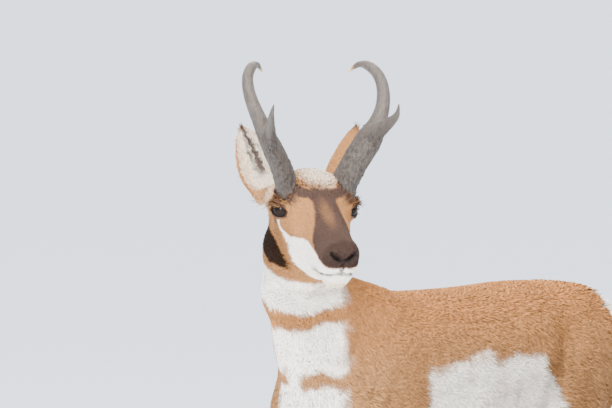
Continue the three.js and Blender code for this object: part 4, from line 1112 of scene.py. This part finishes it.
horn_graph = Graph("horn sheath", Roughness=0.5, Specular_IOR_Level=0.35)
streak = horn_graph.noise(1.0, 5.0, horn_graph.scaled((300, 300, 38)))
lumps = horn_graph.noise(70.0, 4.0)
tone = horn_graph.mix(streak, (0.007, 0.005, 0.004), (0.066, 0.048, 0.035))
dirt = horn_graph.noise(38.0, 5.0) * (1.0 - horn_graph.number("upper"))
dirty = horn_graph.node("ShaderNodeMapRange", {}, {0: dirt, 1: 0.42, 2: 0.62})
tone = horn_graph.mix(dirty, tone, (0.012, 0.008, 0.006))
tone = horn_graph.mix(horn_graph.number("tip"), tone, (0.50, 0.33, 0.12))
rough = 0.72 - 0.30 * horn_graph.number("upper")
HORN = horn_graph.set(Base_Color=tone, Roughness=rough, Normal=horn_graph.bump(streak + lumps, 0.8, 0.0024))
for name in ("horn_left", "horn_right"):
    horn = rounder(name, 2)
    points, normals = points_of(horn.data), normals_of(horn.data)
    rise = level_of(points)[:, 2]
    upper = ramp(rise, 0.12, 0.17)
    ridges = np.abs(waves(points * [1, 1, 0.45], 0.015, 51)) * 0.0024 * (1 - 0.85 * upper)
    ridges -= np.clip(waves(points, 0.009, 52) - 0.5, 0, 1) * 0.0024 * (1 - upper)
    move_points(horn.data, points - normals * ridges[:, None])
    sweep = level_of(points)
    hook = ramp(-sweep[:, 0], 0.044, 0.054) * upper
    set_numbers(horn.data, "tip", 0.85 * hook)
    set_numbers(horn.data, "upper", upper)
    horn.data.materials.append(HORN)
hoof_graph = Graph("hoof", Roughness=0.42)
growth = hoof_graph.noise(1.0, 3.0, hoof_graph.scaled((40, 40, 500)))
hoof_tone = hoof_graph.mix(growth, (0.012, 0.010, 0.009), (0.035, 0.029, 0.024))
HOOF = hoof_graph.set(Base_Color=hoof_tone, Normal=hoof_graph.bump(growth, 0.3, 0.0006))
for name in [n for n in NODES if "hoof" in n]:
    hoof = rounder(name, 1)
    hoof.data.materials.append(HOOF)
print("horns and hooves made")

# %% [markdown]
# A pale floor that curves up into a wall all round, three soft lights, and a long lens far away, low, and
# level with the head: the view in which the animal was seen.

# %% Floor, light and camera


def bowl():
    rows = [(0.0, 0.0), (6.0, 0.0), (40.0, 0.0)]
    rows += [(40 + 30 * math.sin(a), 30 * (1 - math.cos(a))) for a in np.linspace(0.12, math.pi / 2, 12)]
    rows += [(70.0, 55.0)]
    sides = 64
    turns = [2 * math.pi * i / sides for i in range(sides)]
    points = [(r * math.cos(t), r * math.sin(t), z) for r, z in rows[1:] for t in turns]
    points.append((0, 0, 0))
    hub = len(points) - 1
    faces = [(hub, i, (i + 1) % sides) for i in range(sides)]
    for r in range(len(rows) - 2):
        for i in range(sides):
            j = (i + 1) % sides
            faces.append((r * sides + i, (r + 1) * sides + i, (r + 1) * sides + j, r * sides + j))
    floor = new_mesh("floor", points, faces)
    for polygon in floor.data.polygons:
        polygon.use_smooth = True
    return floor


floor = bowl()
floor_graph = Graph("pale studio floor", Roughness=0.9, Specular_IOR_Level=0.1)
floor_graph.shader.inputs["Base Color"].default_value = (0.95, 0.96, 0.985, 1)
floor.data.materials.append(floor_graph.material)

world = bpy.data.worlds.new("soft sky")
world.use_nodes = True
world.node_tree.nodes["Background"].inputs["Color"].default_value = (0.86, 0.92, 1.0, 1)
world.node_tree.nodes["Background"].inputs["Strength"].default_value = 2.5
bpy.context.scene.world = world


def soft_light(name, place, target, size, power, colour):
    light = bpy.data.lights.new(name, "AREA")
    light.shape = "DISK"
    light.size = size
    light.energy = power
    light.color = colour
    obj = bpy.data.objects.new(name, light)
    bpy.context.scene.collection.objects.link(obj)
    obj.location = place
    obj.rotation_euler = (Vector(target) - Vector(place)).to_track_quat("-Z", "Y").to_euler()
    return obj


CHEST = (0.3, 0.0, 0.9)
soft_light("key", (2.6, 1.6, 6.4), CHEST, 2.2, 2100, (1.0, 0.97, 0.92))
right_eye = world_of_head(EYE_AT * [1, -1, 1])
eye_normal = (unit(EYE_OUT * 0.80 + EYE_FORE * 0.28 + EYE_UP * 0.27) * [1, -1, 1]) @ HEAD_AXES
seen_from = np.array([0.8384, 0.5445, 0.0262])
mirrored = unit(2 * (eye_normal @ seen_from) * eye_normal - seen_from)
soft_light("fill", right_eye + 4.5 * mirrored, right_eye, 1.4, 460, (0.88, 0.93, 1.0))
print("fill light at", (right_eye + 4.5 * mirrored).round(2).tolist())
soft_light("back", (-4.5, -2.5, 4.4), CHEST, 3.0, 420, (1.0, 1.0, 1.0))

VIEW_TARGET = Vector((0.41, 0.0, 1.012)) + Vector(BODY_ZERO)
VIEW_TURN = math.radians(33.0)
VIEW_RISE = math.radians(1.5)
VIEW_FAR = 12.0
along_floor = math.cos(VIEW_RISE)
toward = Vector(
    (along_floor * math.cos(VIEW_TURN), along_floor * math.sin(VIEW_TURN), math.sin(VIEW_RISE))
)
lens = bpy.data.cameras.new("long lens")
lens.lens = 419.5
lens.sensor_width = 36.0
lens.clip_end = 200
camera = bpy.data.objects.new("camera", lens)
bpy.context.scene.collection.objects.link(camera)
camera.location = VIEW_TARGET + VIEW_FAR * toward
camera.rotation_euler = (-toward).to_track_quat("-Z", "Y").to_euler()
bpy.context.scene.camera = camera
print("camera at", [round(v, 3) for v in camera.location])
